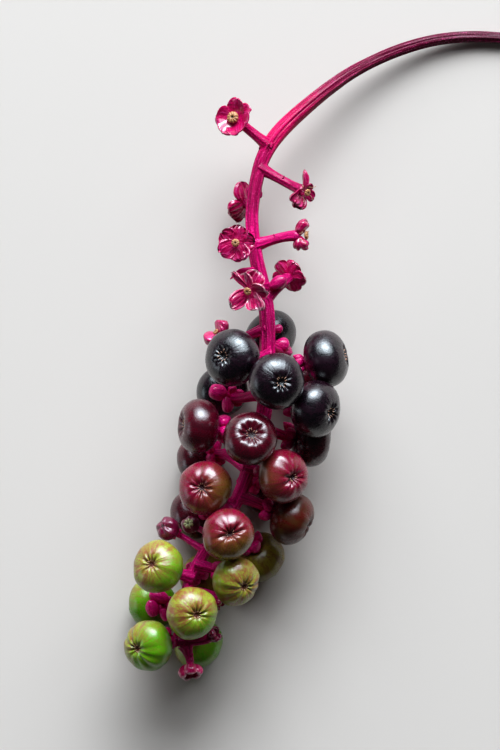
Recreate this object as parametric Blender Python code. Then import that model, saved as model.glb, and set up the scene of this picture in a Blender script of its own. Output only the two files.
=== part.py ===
"""A pokeweed berry cluster, as picked and laid on its back on a surface.

+X runs to the right of the cluster, +Y towards the stem's cut end and +Z up, away from the surface at Z = 0.
The origin is the middle of the cluster's footprint. Sizes and places below are in millimetres.
One arching stem carries short stalks. A stalk ends in a five-lobed calyx with a berry in it, or in a flower.
"""

import math
from collections import namedtuple

import bpy
from mathutils import Vector

MM = 0.001

# The stem, from its cut end to its tip: x, y, z and radius of points on its middle line
STEM_ROUTE = (
    (35.8, 57.2, 1.02, 1.00),
    (28.1, 57.7, 1.30, 1.00),
    (20.8, 57.1, 2.10, 1.00),
    (13.5, 55.0, 3.30, 1.03),
    (6.3, 51.6, 4.90, 1.08),
    (1.1, 48.1, 6.40, 1.18),
    (-4.5, 43.4, 8.00, 1.28),
    (-8.5, 39.3, 9.30, 1.36),
    (-10.9, 35.3, 10.40, 1.28),
    (-12.1, 31.3, 11.20, 1.22),
    (-12.9, 26.4, 11.90, 1.20),
    (-12.9, 21.9, 12.40, 1.22),
    (-12.2, 16.9, 12.80, 1.25),
    (-11.1, 12.0, 13.10, 1.30),
    (-10.3, 7.2, 13.30, 1.38),
    (-10.2, 1.2, 13.30, 1.38),
    (-10.3, -4.2, 13.30, 1.38),
    (-10.8, -10.5, 13.30, 1.35),
    (-12.1, -15.9, 13.30, 1.28),
    (-13.5, -20.9, 13.30, 1.20),
    (-15.3, -25.7, 13.30, 1.15),
    (-18.1, -30.5, 13.20, 1.10),
    (-21.4, -35.7, 13.00, 1.05),
    (-23.9, -40.4, 12.70, 1.00),
    (-25.2, -45.6, 12.40, 0.92),
    (-25.2, -50.1, 12.20, 0.80),
    (-24.9, -52.8, 12.10, 0.62),
)
STEM_STEPS_A_SPAN = 2
STEM_SIDES = 10

# A fruit's centre, its equator's radius, which way its tip points, and the slip of its stalk's root along the stem.
# azimuth is in degrees round from +X towards +Y, and tilt in degrees down from straight up.
# z is RESTING where the fruit lies on the surface.
Fruit = namedtuple("Fruit", "name ripeness x y z radius azimuth tilt slip")
RESTING = None
FRUITS = (
    Fruit("berry_01", "black", -16.5, -0.9, 18.2, 5.13, 169, 31, 0.0),
    Fruit("berry_02", "black", -9.6, 3.0, RESTING, 5.05, 138, 122, 0.0),
    Fruit("berry_03", "black", -8.6, -5.1, 23.3, 5.04, -10, 15, 0.0),
    Fruit("berry_04", "black", 0.3, -1.1, 13.8, 5.22, 12, 80, 0.0),
    Fruit("berry_05", "black", -1.6, -10.1, 18.2, 5.13, -13, 55, 0.0),
    Fruit("berry_06", "black", -18.4, -6.9, RESTING, 4.75, 150, 150, 0.0),
    Fruit("berry_07", "maroon", -4.6, -5.1, RESTING, 4.30, -10, 140, 0.0),
    Fruit("berry_08", "maroon", -13.3, -15.3, 22.0, 4.86, 72, 19, 0.0),
    Fruit("berry_09", "maroon", -22.6, -13.2, 15.5, 4.95, 176, 76, 0.0),
    Fruit("berry_10", "maroon", -2.2, -15.9, 10.2, 4.68, -10, 100, 0.0),
    Fruit("berry_11", "maroon", -22.4, -19.7, RESTING, 4.60, -155, 135, 0.0),
    Fruit("berry_12", "red", -21.4, -24.2, 18.2, 4.86, 166, 12, 0.0),
    Fruit("berry_13", "red", -7.4, -22.1, 18.4, 4.86, -5, 38, 0.0),
    Fruit("berry_14", "russet", -5.8, -29.9, 12.8, 4.86, -25, 80, 0.0),
    Fruit("berry_15", "red", -17.3, -32.4, 21.3, 4.68, 18, 10, 0.0),
    Fruit("berry_16", "olive", -11.7, -37.1, RESTING, 4.80, -60, 135, 0.0),
    Fruit("berry_17", "green", -29.8, -38.3, 18.5, 4.68, 153, 25, 0.0),
    Fruit("berry_18", "green", -15.9, -40.9, 17.6, 4.50, -31, 40, 0.0),
    Fruit("berry_19", "green", -23.7, -46.5, 20.0, 4.68, -15, 18, 0.0),
    Fruit("berry_20", "green", -31.1, -45.7, RESTING, 4.65, 180, 145, 0.0),
    Fruit("berry_21", "green", -31.6, -52.6, 15.5, 4.68, -167, 42, 0.0),
    Fruit("berry_22", "green", -22.8, -52.7, RESTING, 4.65, -45, 145, 0.0),
    Fruit("berry_23", "maroon", -23.5, -29.3, RESTING, 4.60, -160, 140, 0.0),
    Fruit("berry_24", "maroon", -10.5, -24.9, RESTING, 4.55, -40, 145, 0.0),
    Fruit("berry_25", "olive", -21.6, -40.7, RESTING, 4.50, -30, 155, 0.0),
)
YOUNG_FRUITS = (
    Fruit("young_fruit_01", "young", -28.1, -31.5, 14.0, 2.25, 150, 40, 0.0),
    Fruit("young_fruit_02", "young", -24.0, -30.9, 11.5, 1.70, 150, 25, 0.0),
)
# How deep the flat spot of a resting berry is cut, and the half width and depth of the block that cuts it
FLAT_SPOT_DEPTH = 0.15
CUTTER_REACH = 80.0
CUTTER_DEPTH = 8.0

# A flower's centre, its radius, which way it faces, how far its sepals stand up from flat, and its stalk's slip
Flower = namedtuple("Flower", "name x y z radius azimuth tilt cup slip")
FLOWERS = (
    Flower("flower_01", -16.1, 42.1, 13.6, 3.40, 150, 20, 0.40, 0.0),
    Flower("flower_02", -3.7, 29.1, 13.8, 3.20, -25, 46, 0.15, -1.0),
    Flower("flower_03", -14.2, 27.2, 5.9, 3.40, 165, 128, 0.20, 0.0),
    Flower("flower_04", -15.8, 19.7, 17.4, 3.60, 200, 8, 0.12, 0.0),
    Flower("flower_05", -4.2, 21.1, 13.4, 3.10, 2, 80, -0.12, 0.0),
    Flower("flower_06", -13.3, 11.3, 18.3, 3.50, 215, 33, 0.12, 0.0),
    Flower("flower_07", -6.4, 13.6, 11.6, 3.50, 45, 140, 0.10, 1.0),
    Flower("flower_08", -18.8, 3.2, 12.0, 2.20, 140, 65, 0.80, 0.0),
    Flower("flower_09", -19.4, -44.6, 12.4, 1.90, -40, 75, 0.55, 0.0),
    Flower("flower_10", -20.5, -51.0, 13.6, 1.75, 30, 65, 0.55, 0.0),
    Flower("flower_11", -24.1, -56.3, 12.6, 2.40, -85, 60, 0.45, 0.0),
)

# A berry's outline from its base to its tip, as shares of its radius: distance from its axis, and height
BERRY_PROFILE = (
    (0.0, -0.62),
    (0.50, -0.68),
    (0.86, -0.42),
    (1.0, 0.0),
    (0.87, 0.42),
    (0.55, 0.68),
    (0.22, 0.64),
    (0.0, 0.50),
)
BERRY_LOBES = 10
YOUNG_FRUIT_LOBES = 7
# How much of its full depth a furrow between two lobes has at each point of the outline
FURROW_AT_RING = (0.0, 0.2, 0.4, 0.5, 0.8, 1.0, 1.0, 0.0)
# How much of a furrow's depth also lowers the berry's top
FURROW_DROP = 0.5
# The full depth of a berry's furrows, as a share of its radius: a berry fills out as it ripens
FURROW_DEPTH = {
    "black": 0.05,
    "maroon": 0.06,
    "red": 0.09,
    "russet": 0.09,
    "olive": 0.10,
    "green": 0.11,
    "young": 0.20,
}

SEPAL_COUNT = 5
SEPAL_THICKNESS = 0.60
# The cleft between two sepals, as a share of the ring's radius
SEPAL_CLEFT = 0.55
# How far the rim of one sepal reaches past the cleft, step by step round it: a flower's are rounded, a calyx's blunt
FLOWER_RIM = (0.0, 0.86, 1.0, 0.86)
CALYX_RIM = (0.0, 1.0, 1.0)
FLOWER_RINGS = (0.45, 1.0)
CALYX_RINGS = (1.0,)
# The calyx under a berry: its radius as a share of the berry's, its thickness, and how far its rim bends back
CALYX_SHARE = 0.56
CALYX_THICKNESS = 0.60
CALYX_DROOP = -0.30

# A flower's ovary: its radius as a share of the flower's, and its outline from base to tip as shares of its radius
OVARY_SHARE = 0.28
OVARY_PROFILE = ((0.0, 0.0), (0.8, 0.05), (1.0, 0.5), (0.6, 0.95), (0.0, 0.9))
OVARY_FURROWS = (0.0, 0.5, 1.0, 1.0, 0.0)
OVARY_FURROW_DEPTH = 0.12
OVARY_LOBES = 6

# The gap that keeps a berry clear of its calyx, and a flower clear of its stalk and its ovary
CLEARANCE = 0.32

# A stalk's radius at its root, neck and end
FRUIT_STALK = (0.95, 0.84, 0.95)
YOUNG_FRUIT_STALK = (0.65, 0.50, 0.60)
FLOWER_STALK = (0.82, 0.78, 0.92)
STALK_SIDES = 6
STALK_STEPS = 4
# How far from each end a stalk keeps its direction, as a share of its length
STALK_BEND = 0.38

# A thin bract on the stem above the first berries: its middle line and radii
BRACT_ROUTE = ((-12.6, 14.9, 13.6), (-15.1, 14.6, 14.9), (-16.9, 13.2, 15.4))
BRACT_RADII = (0.50, 0.42, 0.32)

# Base colour, as red, green and blue, and roughness of each finish
FINISHES = {
    "stem": ((0.55, 0.01, 0.16), 0.38),
    "sepals": ((0.48, 0.01, 0.14), 0.40),
    "ovary": ((0.62, 0.45, 0.22), 0.55),
    "black": ((0.012, 0.010, 0.016), 0.25),
    "maroon": ((0.10, 0.008, 0.025), 0.28),
    "red": ((0.42, 0.05, 0.07), 0.30),
    "russet": ((0.26, 0.06, 0.04), 0.32),
    "olive": ((0.16, 0.14, 0.03), 0.32),
    "green": ((0.38, 0.48, 0.06), 0.32),
    "young": ((0.30, 0.01, 0.08), 0.35),
}


def clear_scene():
    """Removes every object that the file already holds."""
    for obj in list(bpy.data.objects):
        bpy.data.objects.remove(obj)


def make_finishes():
    """One Principled material for each finish."""
    materials = {}
    for name, (color, roughness) in FINISHES.items():
        material = bpy.data.materials.new(name)
        material.use_nodes = True
        shader = material.node_tree.nodes["Principled BSDF"]
        shader.inputs["Base Color"].default_value = (*color, 1.0)
        shader.inputs["Roughness"].default_value = roughness
        shader.inputs["Metallic"].default_value = 0.0
        materials[name] = material
    return materials


def direction(azimuth, tilt):
    """The unit vector that leans tilt degrees down from straight up, towards azimuth."""
    a, t = math.radians(azimuth), math.radians(tilt)
    return Vector((math.sin(t) * math.cos(a), math.sin(t) * math.sin(a), math.cos(t)))


def turn_to(axis):
    """The rotation that carries +Z to axis."""
    return axis.to_track_quat("Z", "Y")


def add_object(name, points, faces, material=None):
    """A smooth-shaded mesh object from points in millimetres."""
    mesh = bpy.data.meshes.new(name)
    mesh.from_pydata([Vector(p) * MM for p in points], [], faces)
    mesh.shade_smooth()
    mesh.set_sharp_from_angle(angle=math.radians(50))
    if material:
        mesh.materials.append(material)
    obj = bpy.data.objects.new(name, mesh)
    bpy.context.scene.collection.objects.link(obj)
    return obj


def skin(rings, start, end):
    """Points and faces of the closed body through equal rings of points, closed to a point at each end."""
    count = len(rings[0])
    points = [start] + [p for ring in rings for p in ring] + [end]
    faces = []
    for i in range(count):
        j = (i + 1) % count
        faces.append((0, 1 + j, 1 + i))
        for r in range(len(rings) - 1):
            low, high = 1 + r * count, 1 + (r + 1) * count
            faces.append((low + i, low + j, high + j, high + i))
        last = 1 + (len(rings) - 1) * count
        faces.append((last + i, last + j, len(points) - 1))
    return points, faces


def spread(values, share):
    """The point of a smooth curve through values at share, from 0 to 1, of the way from values[1] to values[2]."""
    before, start, end, after = values
    return 0.5 * (
        2 * start
        + (end - before) * share
        + (2 * before - 5 * start + 4 * end - after) * share**2
        + (3 * start - before - 3 * end + after) * share**3
    )


def stem_line():
    """Points and radii along the stem's middle line, smooth through the route's points."""
    points = [Vector(p[:3]) for p in STEM_ROUTE]
    radii = [p[3] for p in STEM_ROUTE]
    line, sizes = [], []
    for i in range(len(points) - 1):
        around = [min(max(i + k, 0), len(points) - 1) for k in (-1, 0, 1, 2)]
        for step in range(STEM_STEPS_A_SPAN):
            share = step / STEM_STEPS_A_SPAN
            line.append(spread([points[k] for k in around], share))
            sizes.append(spread([radii[k] for k in around], share))
    return line + [points[-1]], sizes + [radii[-1]]


def tube(line, radii, sides):
    """Points and faces of a round tube along line, with flat ends."""
    rings = []
    side = Vector((0.0, 0.0, 1.0))
    for i, (middle, radius) in enumerate(zip(line, radii)):
        ahead = (line[min(i + 1, len(line) - 1)] - line[max(i - 1, 0)]).normalized()
        side = (side - ahead * side.dot(ahead)).normalized()
        up = ahead.cross(side)
        turns = [2 * math.pi * k / sides for k in range(sides)]
        rings.append([middle + (side * math.cos(t) + up * math.sin(t)) * radius for t in turns])
    return skin(rings, line[0], line[-1])


def lobed_body(profile, radius, lobes, furrows, depth):
    """Points and faces of a body turned about +Z, with a furrow between each two lobes.

    furrows says how much of depth each ring of the profile has.
    """
    count = 2 * lobes
    rings = []
    for (out, height), furrow in zip(profile[1:-1], furrows[1:-1]):
        ring = []
        for k in range(count):
            turn = 2 * math.pi * k / count
            reach = radius * out * (1 - depth * furrow * (k % 2))
            drop = FURROW_DROP * depth * furrow * (k % 2) * max(height, 0.0)
            ring.append(Vector((reach * math.cos(turn), reach * math.sin(turn), radius * (height - drop))))
        rings.append(ring)
    ends = [Vector((0.0, 0.0, radius * profile[k][1])) for k in (0, -1)]
    return skin(rings, *ends)


def lobed_dish(radius, rim, cup, thickness, shares):
    """Points and faces of a thin dish about +Z with five rounded sepals.

    rim says how far the edge reaches at each step round one sepal, from 0, the cleft, to 1, the sepal's tip.
    The edge stands cup times radius above the middle. shares are the dish's rings, as shares of the edge's reach.
    """
    steps = len(rim) * SEPAL_COUNT

    def ring(share, lift):
        points = []
        for k in range(steps):
            turn = 2 * math.pi * k / steps
            reach = radius * share * (SEPAL_CLEFT + (1 - SEPAL_CLEFT) * rim[k % len(rim)])
            rise = cup * reach * reach / radius
            points.append(Vector((reach * math.cos(turn), reach * math.sin(turn), rise + lift)))
        return points

    half = thickness / 2
    back = [ring(share, -half) for share in shares]
    front = [ring(share, half) for share in reversed(shares)]
    return skin(back + front, Vector((0.0, 0.0, -half)), Vector((0.0, 0.0, half)))


def placed(points, centre, axis):
    """points, made about +Z at the origin, turned to axis and moved to centre."""
    turn = turn_to(axis)
    return [turn @ Vector(p) + centre for p in points]


def root_of(line, end, slip):
    """The point of the stem that a stalk ending at end grows from: the nearest one, moved slip towards the tip."""
    index = min(range(len(line)), key=lambda i: (line[i] - end).length)
    gone = 0.0
    step = 1 if slip > 0 else -1
    while gone < abs(slip) and 0 < index < len(line) - 1:
        gone += (line[index + step] - line[index]).length
        index += step
    return line[index]


def stalk(line, end, axis, slip, size):
    """Points and faces of a stalk that leaves the stem square, bends, and reaches end along axis.

    size has its radius at its root, neck and end.
    """
    root = root_of(line, end, slip)
    reach = (end - root).length * STALK_BEND
    leave = root + (end - root).normalized() * reach
    arrive = end - axis * reach
    at_root, at_neck, at_end = size
    path, radii = [], []
    for k in range(STALK_STEPS + 1):
        t = math.sin(math.pi / 2 * k / STALK_STEPS)
        path.append(
            root * (1 - t) ** 3
            + leave * 3 * t * (1 - t) ** 2
            + arrive * 3 * t**2 * (1 - t)
            + end * t**3
        )
        ends = at_root * (1 - t) + at_end * t
        radii.append(ends + (at_neck - ends) * math.sin(math.pi * t))
    return tube(path, radii, STALK_SIDES)


def berry_object(fruit, materials, lobes):
    """The berry, placed by its location and rotation, with a flat spot where it rests on the surface."""
    points, faces = lobed_body(
        BERRY_PROFILE, fruit.radius, lobes, FURROW_AT_RING, FURROW_DEPTH[fruit.ripeness]
    )
    obj = add_object(fruit.name, points, faces, materials[fruit.ripeness])
    turn = turn_to(direction(fruit.azimuth, fruit.tilt))
    height = fruit.z
    if fruit.z is RESTING:
        height = -min((turn @ Vector(p)).z for p in points) - FLAT_SPOT_DEPTH
    obj.rotation_mode = "QUATERNION"
    obj.rotation_quaternion = turn
    obj.location = Vector((fruit.x, fruit.y, height)) * MM
    return obj


def surface_cutter():
    """A block below Z = 0 that gives each resting berry its flat spot."""
    low, high = -CUTTER_REACH, CUTTER_REACH
    outline = ((low, low), (high, low), (high, high), (low, high))
    corners = [(x, y, z) for z in (-CUTTER_DEPTH, 0.0) for x, y in outline]
    sides = [(k, (k + 1) % 4, 4 + (k + 1) % 4, 4 + k) for k in range(4)]
    cutter = add_object("surface_cutter", corners, [(3, 2, 1, 0), (4, 5, 6, 7)] + sides)
    cutter.hide_render = True
    cutter.display_type = "WIRE"
    return cutter


def flatten(obj, cutter):
    """Cuts off what reaches below the surface."""
    cut = obj.modifiers.new("flat_spot", "BOOLEAN")
    cut.operation = "DIFFERENCE"
    cut.solver = "EXACT"
    cut.object = cutter


def build_berries(materials):
    """Every berry and young fruit, as an object for each."""
    cutter = surface_cutter()
    made = {}
    for fruits, lobes in ((FRUITS, BERRY_LOBES), (YOUNG_FRUITS, YOUNG_FRUIT_LOBES)):
        for fruit in fruits:
            made[fruit] = berry_object(fruit, materials, lobes)
            if fruit.z is RESTING:
                flatten(made[fruit], cutter)
    return made


def build_flowers(materials):
    """Each flower's ring of sepals and the ovary in it, as two objects."""
    made = []
    for flower in FLOWERS:
        axis = direction(flower.azimuth, flower.tilt)
        centre = Vector((flower.x, flower.y, flower.z))
        dish, faces = lobed_dish(flower.radius, FLOWER_RIM, flower.cup, SEPAL_THICKNESS, FLOWER_RINGS)
        name = f"{flower.name}_sepals"
        made.append(add_object(name, placed(dish, centre, axis), faces, materials["sepals"]))
        size = flower.radius * OVARY_SHARE
        ovary, faces = lobed_body(OVARY_PROFILE, size, OVARY_LOBES, OVARY_FURROWS, OVARY_FURROW_DEPTH)
        rise = max(flower.cup, 0.0) * size * size / flower.radius
        seat = centre + axis * (SEPAL_THICKNESS / 2 + CLEARANCE + rise)
        name = f"{flower.name}_ovary"
        made.append(add_object(name, placed(ovary, seat, axis), faces, materials["ovary"]))
    return made


def build_stem(berries, materials):
    """The stem with every stalk, calyx and bract, joined into one body."""
    line, radii = stem_line()
    stem = add_object("stem", *tube(line, radii, STEM_SIDES), materials["stem"])
    growths = bpy.data.collections.new("growths")
    bpy.context.scene.collection.children.link(growths)

    def grow(points, faces):
        piece = add_object("growth", points, faces, materials["stem"])
        bpy.context.scene.collection.objects.unlink(piece)
        growths.objects.link(piece)

    for fruit, obj in berries.items():
        axis = direction(fruit.azimuth, fruit.tilt)
        base = -BERRY_PROFILE[1][1] * fruit.radius + CLEARANCE + CALYX_THICKNESS / 2
        seat = obj.location / MM - axis * base
        radius = fruit.radius * CALYX_SHARE
        dish, faces = lobed_dish(radius, CALYX_RIM, CALYX_DROOP, CALYX_THICKNESS, CALYX_RINGS)
        grow(placed(dish, seat, axis), faces)
        size = YOUNG_FRUIT_STALK if fruit in YOUNG_FRUITS else FRUIT_STALK
        grow(*stalk(line, seat, axis, fruit.slip, size))
    for flower in FLOWERS:
        axis = direction(flower.azimuth, flower.tilt)
        back = SEPAL_THICKNESS / 2 + CLEARANCE
        seat = Vector((flower.x, flower.y, flower.z)) - axis * back
        grow(*stalk(line, seat, axis, flower.slip, FLOWER_STALK))
    grow(*tube([Vector(p) for p in BRACT_ROUTE], BRACT_RADII, STALK_SIDES))

    join = stem.modifiers.new("join", "BOOLEAN")
    join.operation = "UNION"
    join.operand_type = "COLLECTION"
    join.collection = growths
    join.solver = "MANIFOLD"
    bpy.context.view_layer.objects.active = stem
    bpy.ops.object.modifier_apply(modifier=join.name)
    for piece in list(growths.objects):
        bpy.data.objects.remove(piece)
    bpy.data.collections.remove(growths)
    return stem


def main():
    """Builds the cluster, with every piece under one empty."""
    clear_scene()
    materials = make_finishes()
    cluster = bpy.data.objects.new("cluster", None)
    bpy.context.scene.collection.objects.link(cluster)
    berries = build_berries(materials)
    pieces = list(berries.values()) + build_flowers(materials)
    pieces.append(build_stem(berries, materials))
    for piece in pieces:
        piece.parent = cluster


main()
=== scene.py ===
"""A pokeweed berry cluster lying on its side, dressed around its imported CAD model.

The camera looks straight down on it: +Y is up the picture and +Z is towards the viewer. Lengths in the tables
and in the shape functions are in millimetres, and a mesh gets them in metres.
"""

import logging
import math
from dataclasses import dataclass, field, replace
from enum import Enum

import bpy
import numpy as np
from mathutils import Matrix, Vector


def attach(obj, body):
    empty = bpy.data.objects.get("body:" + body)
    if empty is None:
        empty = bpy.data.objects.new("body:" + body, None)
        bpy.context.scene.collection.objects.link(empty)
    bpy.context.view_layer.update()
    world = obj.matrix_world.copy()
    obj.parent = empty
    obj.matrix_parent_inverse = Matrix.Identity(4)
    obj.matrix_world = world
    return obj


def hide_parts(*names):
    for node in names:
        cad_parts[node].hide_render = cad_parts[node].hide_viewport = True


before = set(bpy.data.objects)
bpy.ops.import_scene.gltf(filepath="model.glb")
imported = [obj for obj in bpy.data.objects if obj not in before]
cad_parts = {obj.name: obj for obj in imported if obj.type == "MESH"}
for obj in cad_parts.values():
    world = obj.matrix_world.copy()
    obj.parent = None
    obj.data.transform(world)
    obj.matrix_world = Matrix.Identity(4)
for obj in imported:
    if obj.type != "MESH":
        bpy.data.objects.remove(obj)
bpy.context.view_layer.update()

MM = 0.001
log = logging.getLogger("cluster")

# Red, green and blue, in linear light
Colour = tuple[float, float, float]

# What is added to a piece's number for the seed of its random draws
STYLE_SEED = 200
SEPAL_SEED = 300
OVARY_SEED = 400
THREAD_SEED = 500
CALYX_SEED = 1000


def direction(azimuth: float, tilt: float) -> np.ndarray:
    """The unit vector that points to an azimuth, from +X towards +Y, tilted down from straight up.

    Args:
        azimuth: Degrees about +Z.
        tilt: Degrees away from +Z.

    Returns:
        The vector.
    """
    turn, lean = math.radians(azimuth), math.radians(tilt)
    return np.array((math.sin(lean) * math.cos(turn), math.sin(lean) * math.sin(turn), math.cos(lean)))


def turn_to(axis: np.ndarray) -> np.ndarray:
    """The rotation matrix that carries +Z to axis, the same as the CAD model's."""
    return np.array(Vector(axis).to_track_quat("Z", "Y").to_matrix())


def unit(vectors: np.ndarray) -> np.ndarray:
    """Each row of vectors, divided by its length."""
    return vectors / np.maximum(np.linalg.norm(vectors, axis=-1, keepdims=True), 1e-12)


def smoothstep(low: float, high: float, values: np.ndarray) -> np.ndarray:
    """Rises from 0 at low to 1 at high, level at both ends: 3 s squared less 2 s cubed."""
    share = np.clip((values - low) / (high - low), 0.0, 1.0)
    return share * share * (3.0 - 2.0 * share)


def circle(sides: int) -> np.ndarray:
    """The angles of points evenly round a circle, in radians from 0."""
    return np.linspace(0.0, 2.0 * np.pi, sides, endpoint=False)


def waves(turn: np.ndarray, *terms: tuple[float, float, float | np.ndarray]) -> np.ndarray:
    """The sum of sines of an angle, each given by its height, its count round the circle and its phase."""
    return sum(height * np.sin(count * turn + phase) for height, count, phase in terms)


def length_along(path: np.ndarray) -> np.ndarray:
    """How far each point of a path is from the first, along the path."""
    return np.concatenate(([0.0], np.cumsum(np.linalg.norm(np.diff(path, axis=0), axis=1))))


def about_z(turn: float) -> np.ndarray:
    """The rotation matrix about +Z by turn radians."""
    cosine, sine = math.cos(turn), math.sin(turn)
    return np.array(((cosine, -sine, 0.0), (sine, cosine, 0.0), (0.0, 0.0, 1.0)))


def node_points(node: str) -> np.ndarray:
    """Reads a CAD node's mesh.

    Args:
        node: The node's name.

    Returns:
        The places of its vertices, in millimetres, one to a row.
    """
    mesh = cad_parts[node].data
    flat = np.empty(len(mesh.vertices) * 3)
    mesh.vertices.foreach_get("co", flat)
    return flat.reshape(-1, 3) / MM


@dataclass
class Patch:
    """A closed surface on a grid: columns run round it, rows run from its start to its end.

    grain is where the pattern of the material is read, tint says which of its colours a point has, and edge
    marks rims, crests or creases.
    """

    grid: np.ndarray
    start: np.ndarray
    end: np.ndarray
    grain: np.ndarray
    tint: np.ndarray
    edge: np.ndarray

    def placed(self, turn: np.ndarray, centre: np.ndarray) -> "Patch":
        """The patch turned by a rotation matrix and moved to centre."""
        grid, start, end = (points @ turn.T + centre for points in (self.grid, self.start, self.end))
        return replace(self, grid=grid, start=start, end=end)

    def above(self, height: float) -> "Patch":
        """The patch pressed flat where it is lower than a level.

        Args:
            height: The level.

        Returns:
            The patch, with a flat spot there.
        """
        low = np.array((-np.inf, -np.inf, height))
        grid, start, end = (np.maximum(points, low) for points in (self.grid, self.start, self.end))
        return replace(self, grid=grid, start=start, end=end)


@dataclass
class Skin:
    """One mesh, gathered from patches."""

    name: str
    points: list[np.ndarray] = field(default_factory=list)
    faces: list[np.ndarray] = field(default_factory=list)
    layers: dict[str, list[np.ndarray]] = field(default_factory=lambda: {"grain": [], "tint": [], "edge": []})
    count: int = 0

    def add(self, patch: Patch) -> None:
        """Adds a patch: quads between its rows, and a fan of triangles to its start and to its end.

        Args:
            patch: The closed surface. Its columns run anticlockwise, seen from its end.
        """
        rows, columns, _ = patch.grid.shape
        index = self.count + np.arange(rows * columns).reshape(rows, columns)
        ahead = np.roll(index, -1, axis=1)
        quads = np.stack((index[:-1], ahead[:-1], ahead[1:], index[1:]), axis=-1).reshape(-1, 4)
        start, end = index[-1, -1] + 1, index[-1, -1] + 2
        first = np.stack((np.full(columns, start), ahead[0], index[0]), axis=-1)
        last = np.stack((np.full(columns, end), index[-1], ahead[-1]), axis=-1)
        self.faces += [quads, first, last]
        self.points += [patch.grid.reshape(-1, 3), patch.start[None], patch.end[None]]
        for name, parts in self.layers.items():
            values = getattr(patch, name)
            size = values.shape[2:]
            parts += [values.reshape(-1, *size), values[0].mean(axis=0)[None], values[-1].mean(axis=0)[None]]
        self.count += rows * columns + 2

    def build(self, material: bpy.types.Material) -> bpy.types.Object:
        """Makes the mesh and its object, with the layers as attributes of its points.

        Args:
            material: The finish of the whole piece.

        Returns:
            The object, at the origin, with its place in its mesh.
        """
        points = np.concatenate(self.points) * MM
        corners = np.concatenate([part.ravel() for part in self.faces])
        sizes = np.concatenate([np.full(len(part), part.shape[1]) for part in self.faces])
        starts = np.cumsum(sizes) - sizes
        mesh = bpy.data.meshes.new(self.name)
        mesh.vertices.add(len(points))
        mesh.vertices.foreach_set("co", points.astype(np.float32).ravel())
        mesh.loops.add(len(corners))
        mesh.loops.foreach_set("vertex_index", corners.astype(np.int32))
        mesh.polygons.add(len(sizes))
        mesh.polygons.foreach_set("loop_start", starts.astype(np.int32))
        mesh.polygons.foreach_set("use_smooth", np.ones(len(sizes), dtype=bool))
        for name, parts in self.layers.items():
            values = np.concatenate(parts).astype(np.float32)
            kind, key = ("FLOAT_VECTOR", "vector") if values.ndim == 2 else ("FLOAT", "value")
            mesh.attributes.new(name, kind, "POINT").data.foreach_set(key, values.ravel())
        mesh.update(calc_edges=True)
        mesh.materials.append(material)
        piece = bpy.data.objects.new(self.name, mesh)
        bpy.context.scene.collection.objects.link(piece)
        return piece


def dress(piece: bpy.types.Object, slot: str, *nodes: str) -> None:
    """Joins a finished piece to the frame.

    Args:
        piece: The object.
        slot: The record's material slot; not used.
        nodes: The CAD nodes that it stands for, if any.
    """
    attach(piece, "root")
    if nodes:
        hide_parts(*nodes)
    log.info("%s: %d faces", piece.name, len(piece.data.polygons))


# How far the grain of a tube runs in a millimetre of it
TUBE_GRAIN = 0.08


def tube_patch(path: np.ndarray, radii: np.ndarray, sides: int, tint: np.ndarray, edge: np.ndarray) -> Patch:
    """A tube whose rings stand square to a path.

    Each ring is the path's point plus radius times (side cos t + other sin t), where side is square to the path
    and to the normal of the plane that fits the path best, and other is square to both.

    Args:
        path: Points along the middle, one to a row.
        radii: A radius for each ring, or for each point of each ring.
        sides: Points in a ring.
        tint: The tint of each ring.
        edge: How much each point of each ring is a crest, or of each ring.

    Returns:
        The closed tube.
    """
    turns = circle(sides)
    ahead = unit(np.gradient(path, axis=0))
    normal = np.linalg.svd(path - path.mean(axis=0))[2][-1]
    side = unit(np.cross(normal, ahead))
    other = np.cross(ahead, side)
    ring = np.cos(turns)[None, :, None] * side[:, None] + np.sin(turns)[None, :, None] * other[:, None]
    shape = (len(path), sides)
    size = np.broadcast_to(radii if radii.ndim == 2 else radii[:, None], shape)
    gone = TUBE_GRAIN * length_along(path)[:, None]
    grain = np.stack(np.broadcast_arrays(np.cos(turns)[None], np.sin(turns)[None], gone), axis=-1)
    crest = np.broadcast_to(edge if edge.ndim == 2 else edge[:, None], shape)
    tints = np.broadcast_to(tint[:, None], shape)
    return Patch(path[:, None] + size[..., None] * ring, path[0], path[-1], grain, tints, crest)


# The power of a round shoulder, and the power, 2 over it, of the cosine and sine of an angle that runs along it
SHOULDER = 2.2
SHOULDER_SWEEP = 0.909


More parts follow.
